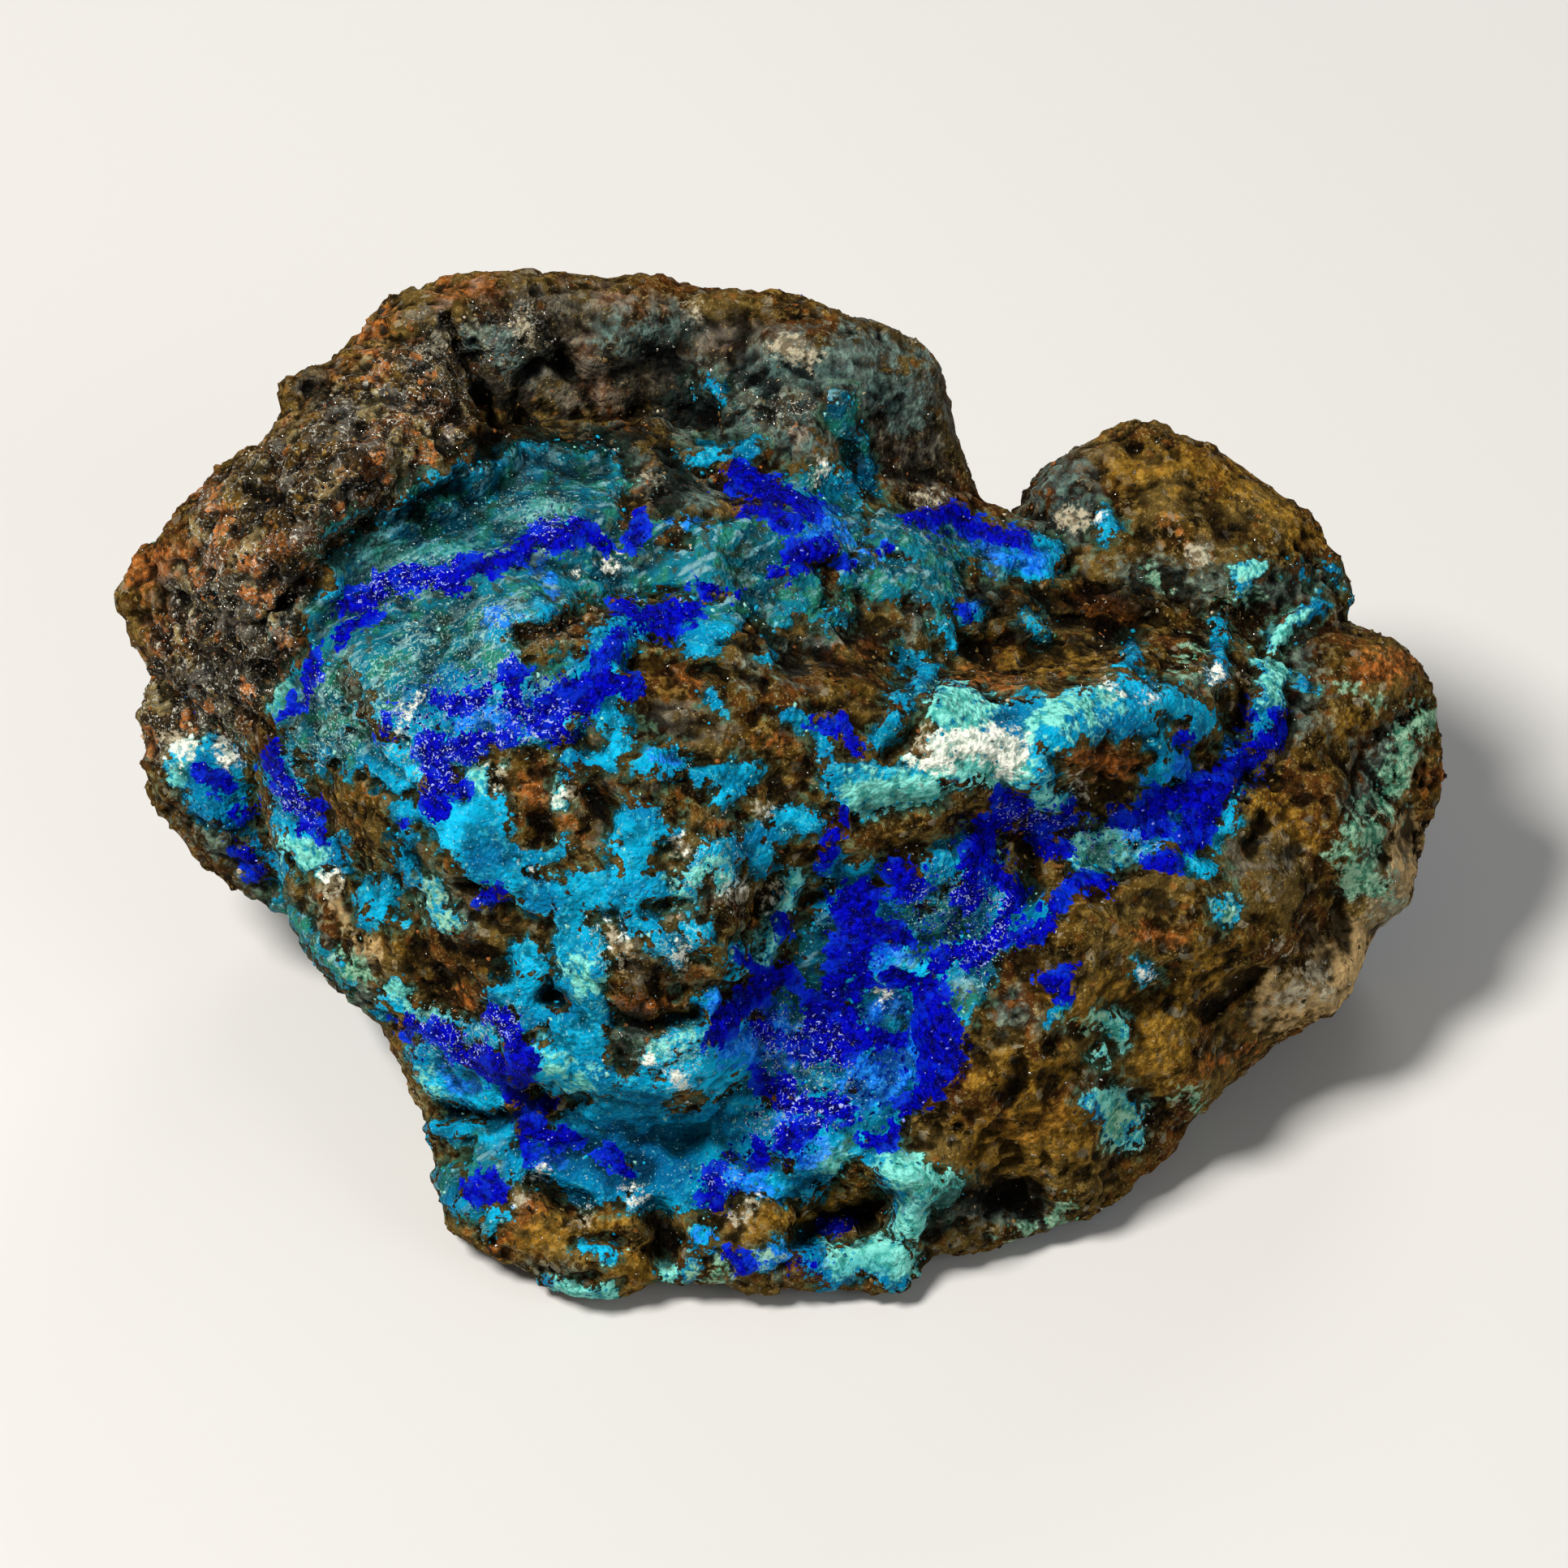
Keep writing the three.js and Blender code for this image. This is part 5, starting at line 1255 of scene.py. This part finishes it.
def combed(tree, size, detail, seed):
    """Mottle drawn out four times as long along COMBED as across it."""
    feeds = {0: place_on(tree), 1: COMBED}
    along = add_node(tree, "VectorMath", feeds, 1, operation="DOT_PRODUCT")
    back = {0: COMBED, "Scale": worked(tree, "MULTIPLY", along, -0.75)}
    drawn_out = add_node(tree, "VectorMath", back, operation="SCALE")
    return noise(tree, place_on(tree, drawn_out, (0.009 * seed, 0, 0)), size, detail, 0.6)


def cells(tree, place, size, output="Color"):
    return add_node(tree, "TexVoronoi", {"Vector": place, "Scale": 1 / (size * MM)}, output)


def channel(tree, colour, number):
    return add_node(tree, "SeparateColor", {0: colour}, number)


def clasts(tree, size, reach, seed):
    """A number from 0 to 1 for each angular patch `size` millimetres wide, edges bent by
    reach."""
    bend = noise(tree, place_on(tree), size / 2.2, 1.0, 0.5, 1)
    bend = add_node(tree, "VectorMath", {0: bend, "Scale": reach * MM}, operation="SCALE")
    return channel(tree, cells(tree, place_on(tree, bend, (0.011 * seed, 0, 0)), size), 0)


def ramp(tree, value, low, high, to_low=0.0, to_high=1.0):
    """0 to 1 as value rises from low to high, along 3t^2 - 2t^3."""
    feeds = {0: value, 1: low, 2: high, 3: to_low, 4: to_high}
    return add_node(tree, "MapRange", feeds, interpolation_type="SMOOTHSTEP")


def depth_of(tree, mineral):
    return add_node(tree, "Attribute", output="Fac", attribute_name=mineral)


def ragged(tree, mineral, *clouds):
    """A mineral's depth, its zero line wandering by each cloud times a reach in millimetres."""
    depth = depth_of(tree, mineral)
    for cloud, reach in clouds:
        depth = worked(tree, "MULTIPLY_ADD", worked(tree, "SUBTRACT", cloud, 0.5), 2 * reach, depth)
    return depth


def mixed(tree, cloud, low, high, first, second):
    """The first colour below low in the cloud and the second above high."""
    return laid_over(tree, ramp(tree, cloud, low, high), pigment(*first), pigment(*second))


def washed(tree, colour, *washes):
    """The colour after each wash in turn. Where its cloud goes from low to high, up to `most`
    of the wash's own colour shows."""
    for cloud, low, high, most, wash in washes:
        share = ramp(tree, cloud, low, high, 0, most)
        colour = laid_over(tree, share, colour, pigment(*wash))
    return colour


def new_finish(name):
    finish = bpy.data.materials.new(name)
    finish.use_nodes = True
    return finish, finish.node_tree, finish.node_tree.nodes["Principled BSDF"]


def feed(tree, shader, **feeds):
    for name, value in feeds.items():
        socket = shader.inputs[name.replace("_", " ")]
        if isinstance(value, bpy.types.NodeSocket):
            tree.links.new(value, socket)
        else:
            socket.default_value = value


skin, tree, shader = new_finish("specimen_skin")
tiny = mottle(tree, 0.11, 2, 1)
small = mottle(tree, 0.32, 3, 2)
medium = mottle(tree, 0.85, 3, 3)
broad = mottle(tree, 2.6, 3, 4)
fleck = mottle(tree, 0.2, 2, 6, tangle=1.2)
grain = cells(tree, place_on(tree, (0.055, 0, 0.085)), 0.3)
grain_level = channel(tree, grain, 0)
grain_hue = channel(tree, grain, 1)
sunk = depth_of(tree, "hollow")

# ore: its browns, then rust, ochre and grey
ore_colour = washed(
    tree, mixed(tree, medium, 0.36, 0.6, (19, 12, 2), (66, 47, 11)),
    (broad, 0.48, 0.6, 0.75, (82, 65, 29)),
    (broad, 0.46, 0.36, 0.65, (68, 37, 11)),
    (small, 0.5, 0.66, 0.7, (107, 84, 37)),
    (grain_hue, 0.9, 0.94, 0.5, (98, 56, 18)),
    (grain_hue, 0.08, 0.04, 0.5, (112, 106, 88)),
)
for mineral, reaches, (low, high, most), cloud, lighter, first, second in (
    ("rust", (0.8, 1.0), (-0.2, 0.5, 0.8), small, (0.4, 0.62), (84, 44, 14), (142, 80, 32)),
    ("ochre", (1.2, 1.6), (-0.3, 0.8, 0.7), small, (0.42, 0.6), (92, 64, 12), (126, 93, 28)),
    ("grey", (1.4, 1.6), (-0.4, 0.9, 0.75), medium, (0.4, 0.62), (30, 30, 25), (86, 84, 74)),
):
    share = ramp(tree, ragged(tree, mineral, *zip((small, medium), reaches)), low, high, 0, most)
    ore_colour = laid_over(tree, share, ore_colour, mixed(tree, cloud, *lighter, first, second))

# ore: the angular patches of the glittering part, and painted glints on it
glitter_share = ramp(tree, ragged(tree, "glitter", (medium, 2.0)), -0.4, 0.6)
dulled = worked(tree, "MULTIPLY", glitter_share, 0.2)
ore_colour = laid_over(tree, dulled, ore_colour, pigment(32, 28, 23))
patch = clasts(tree, 0.9, 0.9, 3)
patchy = worked(tree, "MULTIPLY", glitter_share, ramp(tree, small, 0.36, 0.5, 0.3, 0.85))
slaty = worked(tree, "MULTIPLY", ramp(tree, patch, 0.44, 0.47), ramp(tree, patch, 0.6, 0.57))
for share, patch_colour in (
    (ramp(tree, patch, 0.36, 0.32), (24, 20, 15)),
    (ramp(tree, patch, 0.7, 0.74), (108, 96, 62)),
    (ramp(tree, patch, 0.86, 0.9), (138, 78, 34)),
    (slaty, (72, 70, 64)),
):
    share = worked(tree, "MULTIPLY", patchy, share)
    ore_colour = laid_over(tree, share, ore_colour, pigment(*patch_colour))
# painted glints: pale specks over the glittering part
painted_glints = worked(tree, "MULTIPLY", ramp(tree, fleck, 0.58, 0.63, 0, 0.7), glitter_share)
ore_colour = laid_over(tree, painted_glints, ore_colour, pigment(156, 156, 144))

# ore: bleached and stained places, then painted shade in the hollows and lighter rises
ore_colour = washed(
    tree, ore_colour,
    (ragged(tree, "bleached", (small, 1.2), (medium, 1.6)), -0.1, 0.6, 0.8, (156, 130, 88)),
    (tiny, 0.6, 0.68, 0.45, (146, 128, 86)),
)
stain_share = ramp(tree, ragged(tree, "stained", (small, 1.4), (medium, 1.8)), -0.3, 0.9, 0, 0.6)
stain = mixed(tree, small, 0.38, 0.64, (34, 58, 60), (78, 108, 102))
ore_colour = laid_over(tree, stain_share, ore_colour, stain)
# each grain's own tone, times painted shade: darker down to a sixth in the hollows and lighter on
# the rises
grain_and_painted_shading = worked(tree, "MULTIPLY_ADD", grain_level, 0.8, 0.6)
grain_and_painted_shading = worked(tree, "MULTIPLY", grain_and_painted_shading, ramp(tree, sunk, -0.06, 0.08, 1.3, 0.16))
ore_colour = darkened(tree, ore_colour, grain_and_painted_shading)

# chrysocolla: turquoise, and pale, teal and sky blue parts of it
crust = washed(
    tree, mixed(tree, broad, 0.4, 0.6, (0, 98, 140), (2, 140, 176)),
    (broad, 0.56, 0.68, 1.0, (10, 164, 206)),
    (medium, 0.52, 0.64, 0.75, (0, 78, 100)),
    (small, 0.54, 0.68, 0.6, (50, 164, 178)),
)
pale_share = ramp(tree, ragged(tree, "pale", (small, 1.0), (medium, 1.0)), -0.1, 0.4)
pale = mixed(tree, small, 0.4, 0.6, (56, 144, 132), (116, 196, 182))
crust = laid_over(tree, pale_share, crust, pale)
teal_share = ramp(tree, ragged(tree, "teal", (medium, 1.0)), -0.2, 0.5)
teal = washed(
    tree, mixed(tree, combed(tree, 1.6, 3, 9), 0.42, 0.58, (6, 60, 76), (8, 98, 116)),
    (medium, 0.48, 0.6, 0.85, (34, 106, 82)),
    (combed(tree, 0.4, 2, 8), 0.53, 0.66, 0.75, (110, 150, 154)),
    (mottle(tree, 0.5, 3, 8), 0.54, 0.62, 0.8, (48, 62, 48)),
)
less_pale = worked(tree, "MULTIPLY_ADD", pale_share, -0.4, 1.0)
crust = laid_over(tree, worked(tree, "MULTIPLY", teal_share, less_pale), crust, teal)
sky_share = ramp(tree, ragged(tree, "sky", (small, 0.9), (medium, 0.9)), -0.1, 0.3, 0, 0.9)
sky = mixed(tree, small, 0.4, 0.62, (0, 70, 184), (30, 124, 222))
crust = laid_over(tree, sky_share, crust, sky)
# painted glints: pale streaks on the crust, many where it is streaked and few elsewhere
glint_scarcity = ramp(tree, depth_of(tree, "streaked"), -0.5, 0.5, 0.16, 0.02)
painted_glint_streaks = worked(tree, "SUBTRACT", fleck, glint_scarcity)
crust = washed(tree, crust, (painted_glint_streaks, 0.52, 0.6, 0.7, (140, 182, 172)))
# darker crust: partly its own deeper teal, partly painted shade in the hollow, creases and knob
deep_and_painted_shade_share = ramp(tree, ragged(tree, "deep", (small, 0.7), (medium, 1.2)), -0.3, 0.5, 0, 0.7)
crust = darkened(tree, crust, pigment(84, 172, 196), deep_and_painted_shade_share)
# painted shade: the crust is darkened in its hollows and lightened a little on its rises
crust = darkened(tree, crust, ramp(tree, sunk, -0.05, 0.09, 1.12, 0.3))
crust = washed(tree, crust, (tiny, 0.64, 0.72, 0.5, (140, 206, 214)))
crust_depth = ragged(tree, "turquoise", (medium, 0.85), (small, 0.6), (tiny, 0.12))
crust_share = ramp(tree, crust_depth, -0.06, -0.01)

# the green that seeps from the crust into the ore, and painted shade in a line along the crust's
# edge
seeping = ramp(tree, medium, 0.4, 0.6, 0.1, 0.75)
seep = worked(tree, "MULTIPLY", ramp(tree, crust_depth, -0.5, -0.05), seeping)
tinted = mixed(tree, small, 0.4, 0.6, (34, 60, 44), (82, 114, 86))
ore_colour = laid_over(tree, seep, ore_colour, tinted)
# painted shade: the ore is darkened in a thin band just outside the crust's edge
ore_colour = darkened(tree, ore_colour, ramp(tree, crust_depth, -0.22, -0.07, 1.0, 0.42))
colour = laid_over(tree, crust_share, ore_colour, crust)

# malachite and clay
green_depth = ragged(tree, "malachite", (medium, 1.4), (small, 1.2))
green = mixed(tree, small, 0.42, 0.6, (56, 124, 96), (138, 178, 146))
colour = laid_over(tree, ramp(tree, green_depth, 0.0, 0.5, 0, 0.8), colour, green)
clay_depth = ragged(tree, "clay", (small, 0.7), (medium, 0.6), (fleck, 0.55))
on_crust = mixed(tree, small, 0.4, 0.58, (150, 164, 148), (224, 224, 208))
on_ore = mixed(tree, small, 0.42, 0.6, (106, 94, 72), (170, 160, 134))
clay = laid_over(tree, crust_share, on_ore, on_crust)
colour = laid_over(tree, ramp(tree, clay_depth, -0.1, 0.3, 0, 0.95), colour, clay)

# azurite: its beds, and single crystals sprinkled round them
blue_depth = ragged(tree, "azurite", (medium, 0.65), (small, 0.5), (tiny, 0.12))
scarce = ramp(tree, depth_of(tree, "sprinkled"), -0.5, 0.6, 0.4, 0.02)
sprinkle = worked(tree, "ADD", worked(tree, "SUBTRACT", fleck, scarce), 0.4)
sprinkle = worked(tree, "MULTIPLY_ADD", small, -0.8, sprinkle)
sprinkled = ramp(tree, sprinkle, 0.58, 0.62)
blue_share = worked(tree, "MAXIMUM", ramp(tree, blue_depth, -0.05, 0.0), sprinkled)
blue = mixed(tree, small, 0.38, 0.62, (0, 0, 73), (0, 4, 170))
blue = washed(tree, blue, (tiny, 0.46, 0.36, 0.5, (0, 0, 84)))
cloudy = ramp(tree, medium, 0.5, 0.6, 0, 0.8)
edge_share = worked(tree, "MULTIPLY", ramp(tree, blue_depth, 0.3, 0.05), cloudy)
blue = laid_over(tree, edge_share, blue, pigment(14, 58, 188))
# painted glints: pale lavender dashes on the azurite, many where it is streaked and few elsewhere
painted_azurite_glints = worked(tree, "SUBTRACT", mottle(tree, 0.2, 2, 14, tangle=1.5), glint_scarcity)
blue = washed(
    tree, blue,
    (medium, 0.54, 0.64, 0.6, (3, 41, 188)),
    (painted_azurite_glints, 0.57, 0.61, 0.85, (160, 172, 222)),
)
colour = laid_over(tree, blue_share, colour, blue)
# painted shade: colour darkened to a seventh along the strokes of cracks, creases and recesses, and
# in scattered dark patches round the hidden sides
painted_shade_depth = ragged(tree, "dark", (small, 0.8), (medium, 0.8), (tiny, 0.3))
colour = darkened(tree, colour, ramp(tree, painted_shade_depth, -0.2, 0.2, 1.0, 0.14))

# polish and grain
waxy_share = worked(tree, "MAXIMUM", crust_share, blue_share)
polish = worked(tree, "MULTIPLY_ADD", waxy_share, -0.34, 0.8)
facets = cells(tree, place_on(tree, (0.132, 0, 0.204)), 0.22, "Distance")
height = worked(tree, "MULTIPLY_ADD", facets, -0.7, worked(tree, "MULTIPLY", small, 0.9))
height = worked(tree, "MULTIPLY_ADD", tiny, 0.5, height)
GRAIN_HEIGHT = 0.14 * MM
bump = add_node(tree, "Bump", {"Strength": 1.0, "Distance": GRAIN_HEIGHT, "Height": height})
feed(tree, shader, Base_Color=colour, Roughness=polish, Normal=bump, Specular_IOR_Level=0.03)
stone.data.materials.append(skin)

# --- Azurite crystals ---------------------------------------------------------------------
# Single azurite crystals of a tenth to a quarter of a millimetre, short glassy blades that
# stand at every angle on the blue beds and lie loose around them.

CLEAR_OF_FLOOR = 0.4 * MM


def scattered(mesh, chance, count, seed):
    """Random places on a mesh of triangles, with the normals there. A triangle is drawn in
    proportion to its area times the chance at its corners, and a place is the mean of its
    corners with random weights. The underside gets none."""
    corners = np.empty(len(mesh.polygons) * 3, np.int32)
    mesh.polygons.foreach_get("vertices", corners)
    corners = corners.reshape(-1, 3)
    points, normals = vertex_array(mesh), vertex_normals(mesh)
    a, b, c = (points[corners[:, i]] for i in range(3))
    clear = (points[corners][:, :, 2] > CLEAR_OF_FLOOR).all(axis=1)
    odds = np.linalg.norm(np.cross(b - a, c - a), axis=1) * chance[corners].mean(axis=1) * clear
    draw = np.random.default_rng(seed)
    picked = draw.choice(len(corners), count, p=odds / odds.sum())
    share = draw.dirichlet((1, 1, 1), count)[:, :, None]
    places = (points[corners[picked]] * share).sum(axis=1)
    outward = (normals[corners[picked]] * share).sum(axis=1)
    return places, outward / np.linalg.norm(outward, axis=1, keepdims=True), draw


def grain_mesh(name, form, faces, mesh, chance, count, sizes, tilt, sink, seed, uneven=0.0):
    """One mesh of many grains. Each is `form` times three random sizes, with its long axis
    along the normal plus `tilt` times a random direction, and sunk by a share of its size."""
    places, outward, draw = scattered(mesh, chance, count, seed)
    long_axis = outward + tilt * draw.normal(size=(count, 3))
    long_axis /= np.linalg.norm(long_axis, axis=1, keepdims=True)
    side_axis = np.cross(long_axis, draw.normal(size=(count, 3)))
    side_axis /= np.linalg.norm(side_axis, axis=1, keepdims=True)
    turn = np.stack([side_axis, np.cross(long_axis, side_axis), long_axis], axis=1)
    low, high = sizes
    size = np.array(low) + (np.array(high) - low) * draw.random((count, 1)) ** 2
    size = size * draw.uniform(0.7, 1.3, (count, 3)) * MM
    shapes = form[None] * (1 + uneven * draw.uniform(-1, 1, (count, len(form), 3)))
    points = np.einsum("nvi,nij->nvj", shapes * size[:, None], turn)
    points += (places - outward * sink * size.min(axis=1, keepdims=True))[:, None]
    first_corner = len(form) * np.arange(count)[:, None, None]
    every_face = (faces[None] + first_corner).reshape(-1, faces.shape[1])
    grown = bpy.data.meshes.new(name)
    grown.vertices.add(count * len(form))
    grown.loops.add(every_face.size)
    grown.polygons.add(len(every_face))
    grown.vertices.foreach_set("co", points.astype(np.float32).ravel())
    starts = np.arange(0, every_face.size, faces.shape[1], dtype=np.int32)
    grown.polygons.foreach_set("loop_start", starts)
    grown.loops.foreach_set("vertex_index", every_face.astype(np.int32).ravel())
    grown.update(calc_edges=True)
    store(grown, {"own_shade": np.repeat(draw.random(count), len(form))})
    piece = bpy.data.objects.new(name, grown)
    bpy.context.scene.collection.objects.link(piece)
    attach(piece, "root")
    return piece


def grain_finish(piece, name, shades, flecks, cloud, **surface):
    """A finish for a mesh of grains. Each grain's own number picks its place between two
    shades and whether it is one of the flecks, and cloudy noise darkens or lightens it."""
    finish, tree, shader = new_finish(name)
    own = depth_of(tree, "own_shade")
    colour = washed(tree, mixed(tree, own, *shades), *((own, *fleck) for fleck in flecks))
    size, detail, *levels = cloud
    colour = darkened(tree, colour, ramp(tree, mottle(tree, size, detail, 4), *levels))
    feed(tree, shader, Base_Color=colour, **surface)
    piece.data.materials.append(finish)


BLADE = 0.5 * np.array([
    (-1, -1, -1), (1, -1, -1), (1, 1, -1), (-1, 1, -1),
    (-0.4, -0.6, 1), (0.7, -0.6, 1), (0.7, 0.6, 1), (-0.4, 0.6, 1),
])
BLADE_FACES = np.array([
    (0, 3, 2, 1), (4, 5, 6, 7), (0, 1, 5, 4), (1, 2, 6, 5), (2, 3, 7, 6), (3, 0, 4, 7),
])
loose = 0.06 * rising(skin_depth["sprinkled"], -0.2, 0.6)
blue_chance = rising(skin_depth["azurite"], 0.0, 0.2) + loose
crystals = grain_mesh(
    "azurite_crystals", BLADE, BLADE_FACES, ore, blue_chance, 13_000,
    ((0.07, 0.05, 0.1), (0.18, 0.12, 0.24)), 0.9, 0.7, 201,
)
# painted glints: a few crystals are coloured pale lavender
grain_finish(
    crystals, "glassy_azurite", (0.0, 0.8, (0, 0, 95), (0, 4, 166)),
    [(0.965, 0.975, 1.0, (132, 138, 222))],
    (0.08, 2, 0.4, 0.65, 0.7, 1.2), Roughness=0.12, Specular_IOR_Level=0.12,
)

# --- Chrysocolla beads --------------------------------------------------------------------
# Drops of chrysocolla no bigger than poppy seeds, waxy and round, strung along the borders
# of the turquoise crust where it stopped growing.

GOLDEN = (1 + math.sqrt(5)) / 2
CRUMB = np.array(
    [(0, a, b * GOLDEN) for a in (-1, 1) for b in (-1, 1)]
    + [(a, b * GOLDEN, 0) for a in (-1, 1) for b in (-1, 1)]
    + [(b * GOLDEN, 0, a) for a in (-1, 1) for b in (-1, 1)]
) / (2 * math.hypot(1, GOLDEN))
hull = bmesh.new()
for corner in CRUMB:
    hull.verts.new(corner)
bmesh.ops.convex_hull(hull, input=hull.verts)
bmesh.ops.recalc_face_normals(hull, faces=hull.faces)
CRUMB_FACES = np.array([[vertex.index for vertex in face.verts] for face in hull.faces])
hull.free()

in_turquoise, in_azurite = skin_depth["turquoise"], skin_depth["azurite"]
skin_of_crust = np.maximum(rising(in_turquoise, -0.1, 0.1), rising(in_azurite, -0.1, 0.1))
border = rising(in_turquoise, -0.3, 0.0) * rising(-in_turquoise, -0.5, -0.1)
bead_chance = 0.08 * rising(in_turquoise, 0.0, 0.2) + border
bead_chance = bead_chance * rising(-in_azurite, -0.1, 0.2)
beads = grain_mesh(
    "chrysocolla_beads", CRUMB, CRUMB_FACES, ore, bead_chance, 6000,
    ((0.1, 0.1, 0.08), (0.34, 0.3, 0.22)), 0.5, 0.35, 211, uneven=0.12,
)
grain_finish(
    beads, "waxy_chrysocolla", (0.0, 0.7, (0, 88, 112), (0, 140, 172)),
    [(0.8, 0.95, 1.0, (128, 184, 168))],
    (0.15, 3, 0.35, 0.65, 0.6, 1.2), Roughness=0.36, Specular_IOR_Level=0.15,
)
shade_smooth(beads.data)

# --- White silica needles -----------------------------------------------------------------
# Pale chips and needles of quartz and silica-rich chrysocolla that lie flat in the crusts and
# catch the light.

streaked = rising(skin_depth["streaked"], -0.4, 0.4)
needle_chance = streaked * (0.35 + skin_of_crust) + 0.05 * skin_of_crust
needle_chance = needle_chance + 0.4 * rising(skin_depth["clay"], -0.3, 0.1)
needle_chance = needle_chance * (1 - 0.93 * rising(in_azurite, -0.1, 0.1))
needles = grain_mesh(
    "silica_needles", BLADE, BLADE_FACES, ore, needle_chance, 9000,
    ((0.03, 0.05, 0.02), (0.06, 0.2, 0.04)), 0.35, 0.4, 221,
)
grain_finish(
    needles, "milky_silica", (0.0, 0.5, (70, 112, 112), (140, 166, 158)),
    [(0.92, 0.97, 1.0, (196, 204, 196))],
    (0.1, 3, 0.35, 0.65, 0.6, 1.1), Roughness=0.3, Specular_IOR_Level=0.2,
)

# --- Limonite crumbs ----------------------------------------------------------------------
# Angular crumbs of the ore itself, brown, ochre and khaki, stuck all over its broken faces.

bare = 1 - skin_of_crust
rugged = 1 - 0.75 * rising(skin_depth["calm"], -0.8, 0.8)
crumbling = 0.35 + rising(skin_depth["glitter"], -0.5, 0.5)
crumb_chance = rugged * bare * (crumbling + 0.4 * rising(skin_depth["rust"], -0.2, 0.3))
crumbs = grain_mesh(
    "limonite_crumbs", CRUMB, CRUMB_FACES, ore, crumb_chance, 9500,
    ((0.08, 0.08, 0.07), (0.34, 0.3, 0.24)), 0.8, 0.35, 231, uneven=0.3,
)
grain_finish(
    crumbs, "earthy_limonite", (0.0, 0.6, (16, 11, 4), (68, 48, 16)),
    [
        (0.62, 0.78, 1.0, (112, 90, 50)),
        (0.88, 0.9, 1.0, (122, 70, 28)),
        (0.975, 0.98, 1.0, (176, 164, 136)),
    ],
    (0.12, 3, 0.35, 0.65, 0.45, 1.3), Roughness=0.5, Specular_IOR_Level=0.15,
)

# --- Specular iron flakes -----------------------------------------------------------------
# Thin bright flakes of crystalline iron ore in the brown stone, which glint one by one.

flake_chance = bare * (0.06 + rising(skin_depth["glitter"], -0.5, 0.8))
flakes = grain_mesh(
    "iron_flakes", BLADE, BLADE_FACES, ore, flake_chance, 7000,
    ((0.05, 0.08, 0.02), (0.12, 0.22, 0.03)), 0.6, 0.1, 241,
)
grain_finish(
    flakes, "steely_iron_ore", (0.1, 0.9, (70, 66, 60), (176, 170, 158)), [],
    (0.1, 2, 0.35, 0.65, 0.7, 1.1), Metallic=0.8, Roughness=0.22,
)

# --- Malachite tufts ----------------------------------------------------------------------
# Green copper carbonate as little rounded tufts on the stained places.

green_chance = rising(skin_depth["malachite"], -0.2, 0.2)
tufts = grain_mesh(
    "malachite_tufts", CRUMB, CRUMB_FACES, ore, green_chance, 2500,
    ((0.08, 0.08, 0.06), (0.26, 0.24, 0.18)), 0.6, 0.35, 251, uneven=0.2,
)
grain_finish(
    tufts, "velvet_malachite", (0.1, 0.9, (20, 84, 62), (84, 144, 112)), [],
    (0.12, 3, 0.35, 0.65, 0.6, 1.2), Roughness=0.7, Specular_IOR_Level=0.25,
)

# --- Stage --------------------------------------------------------------------------------
# A sheet of pale paper under the stone, three soft lamps and a dim room, with the camera
# looking straight down on the showing side.

bpy.ops.mesh.primitive_plane_add(size=3, location=(0, 0.6, -0.02 * MM))
floor = bpy.context.object
floor.name = "floor"
paper, paper_tree, paper_shader = new_finish("pale_paper")
feed(paper_tree, paper_shader, Base_Color=pigment(196, 194, 190), Roughness=0.9)
floor.data.materials.append(paper)


def soft_light(name, place, size, power, colour):
    """A round lamp that faces the stone's middle."""
    lamp = bpy.data.lights.new(name, "AREA")
    lamp.shape = "DISK"
    lamp.size = size
    lamp.energy = power
    lamp.color = colour
    holder = bpy.data.objects.new(name, lamp)
    holder.location = place
    towards = Vector((0, 0, 12 * MM)) - Vector(place)
    holder.rotation_euler = towards.to_track_quat("-Z", "Y").to_euler()
    bpy.context.scene.collection.objects.link(holder)


soft_light("key_light", (-0.2, -0.1, 0.38), 0.12, 2.9, (1.0, 0.98, 0.95))
soft_light("fill_light", (0.34, -0.26, 0.22), 0.3, 0.6, (0.94, 0.97, 1.0))
soft_light("rim_light", (0.1, 0.4, 0.24), 0.2, 0.5, (1.0, 1.0, 1.0))
room = bpy.data.worlds.new("room")
room.use_nodes = True
walls = room.node_tree.nodes["Background"].inputs
walls["Color"].default_value = (0.8, 0.82, 0.85, 1)
walls["Strength"].default_value = 0.2
bpy.context.scene.world = room
bpy.context.scene.view_settings.view_transform = "Standard"

lens = bpy.data.cameras.new("camera")
lens.lens = 200
lens.sensor_width = 36
lens.clip_start = 0.01
camera = bpy.data.objects.new("camera", lens)
camera.location = Vector(((MIDDLE + EYE * OUT_OF_SIDE) * MM).tolist())
camera.rotation_euler = (math.pi / 2 - LEAN, 0, 0)
bpy.context.scene.collection.objects.link(camera)
bpy.context.scene.camera = camera


def corners(box):
    return [list(corner) for corner in box]
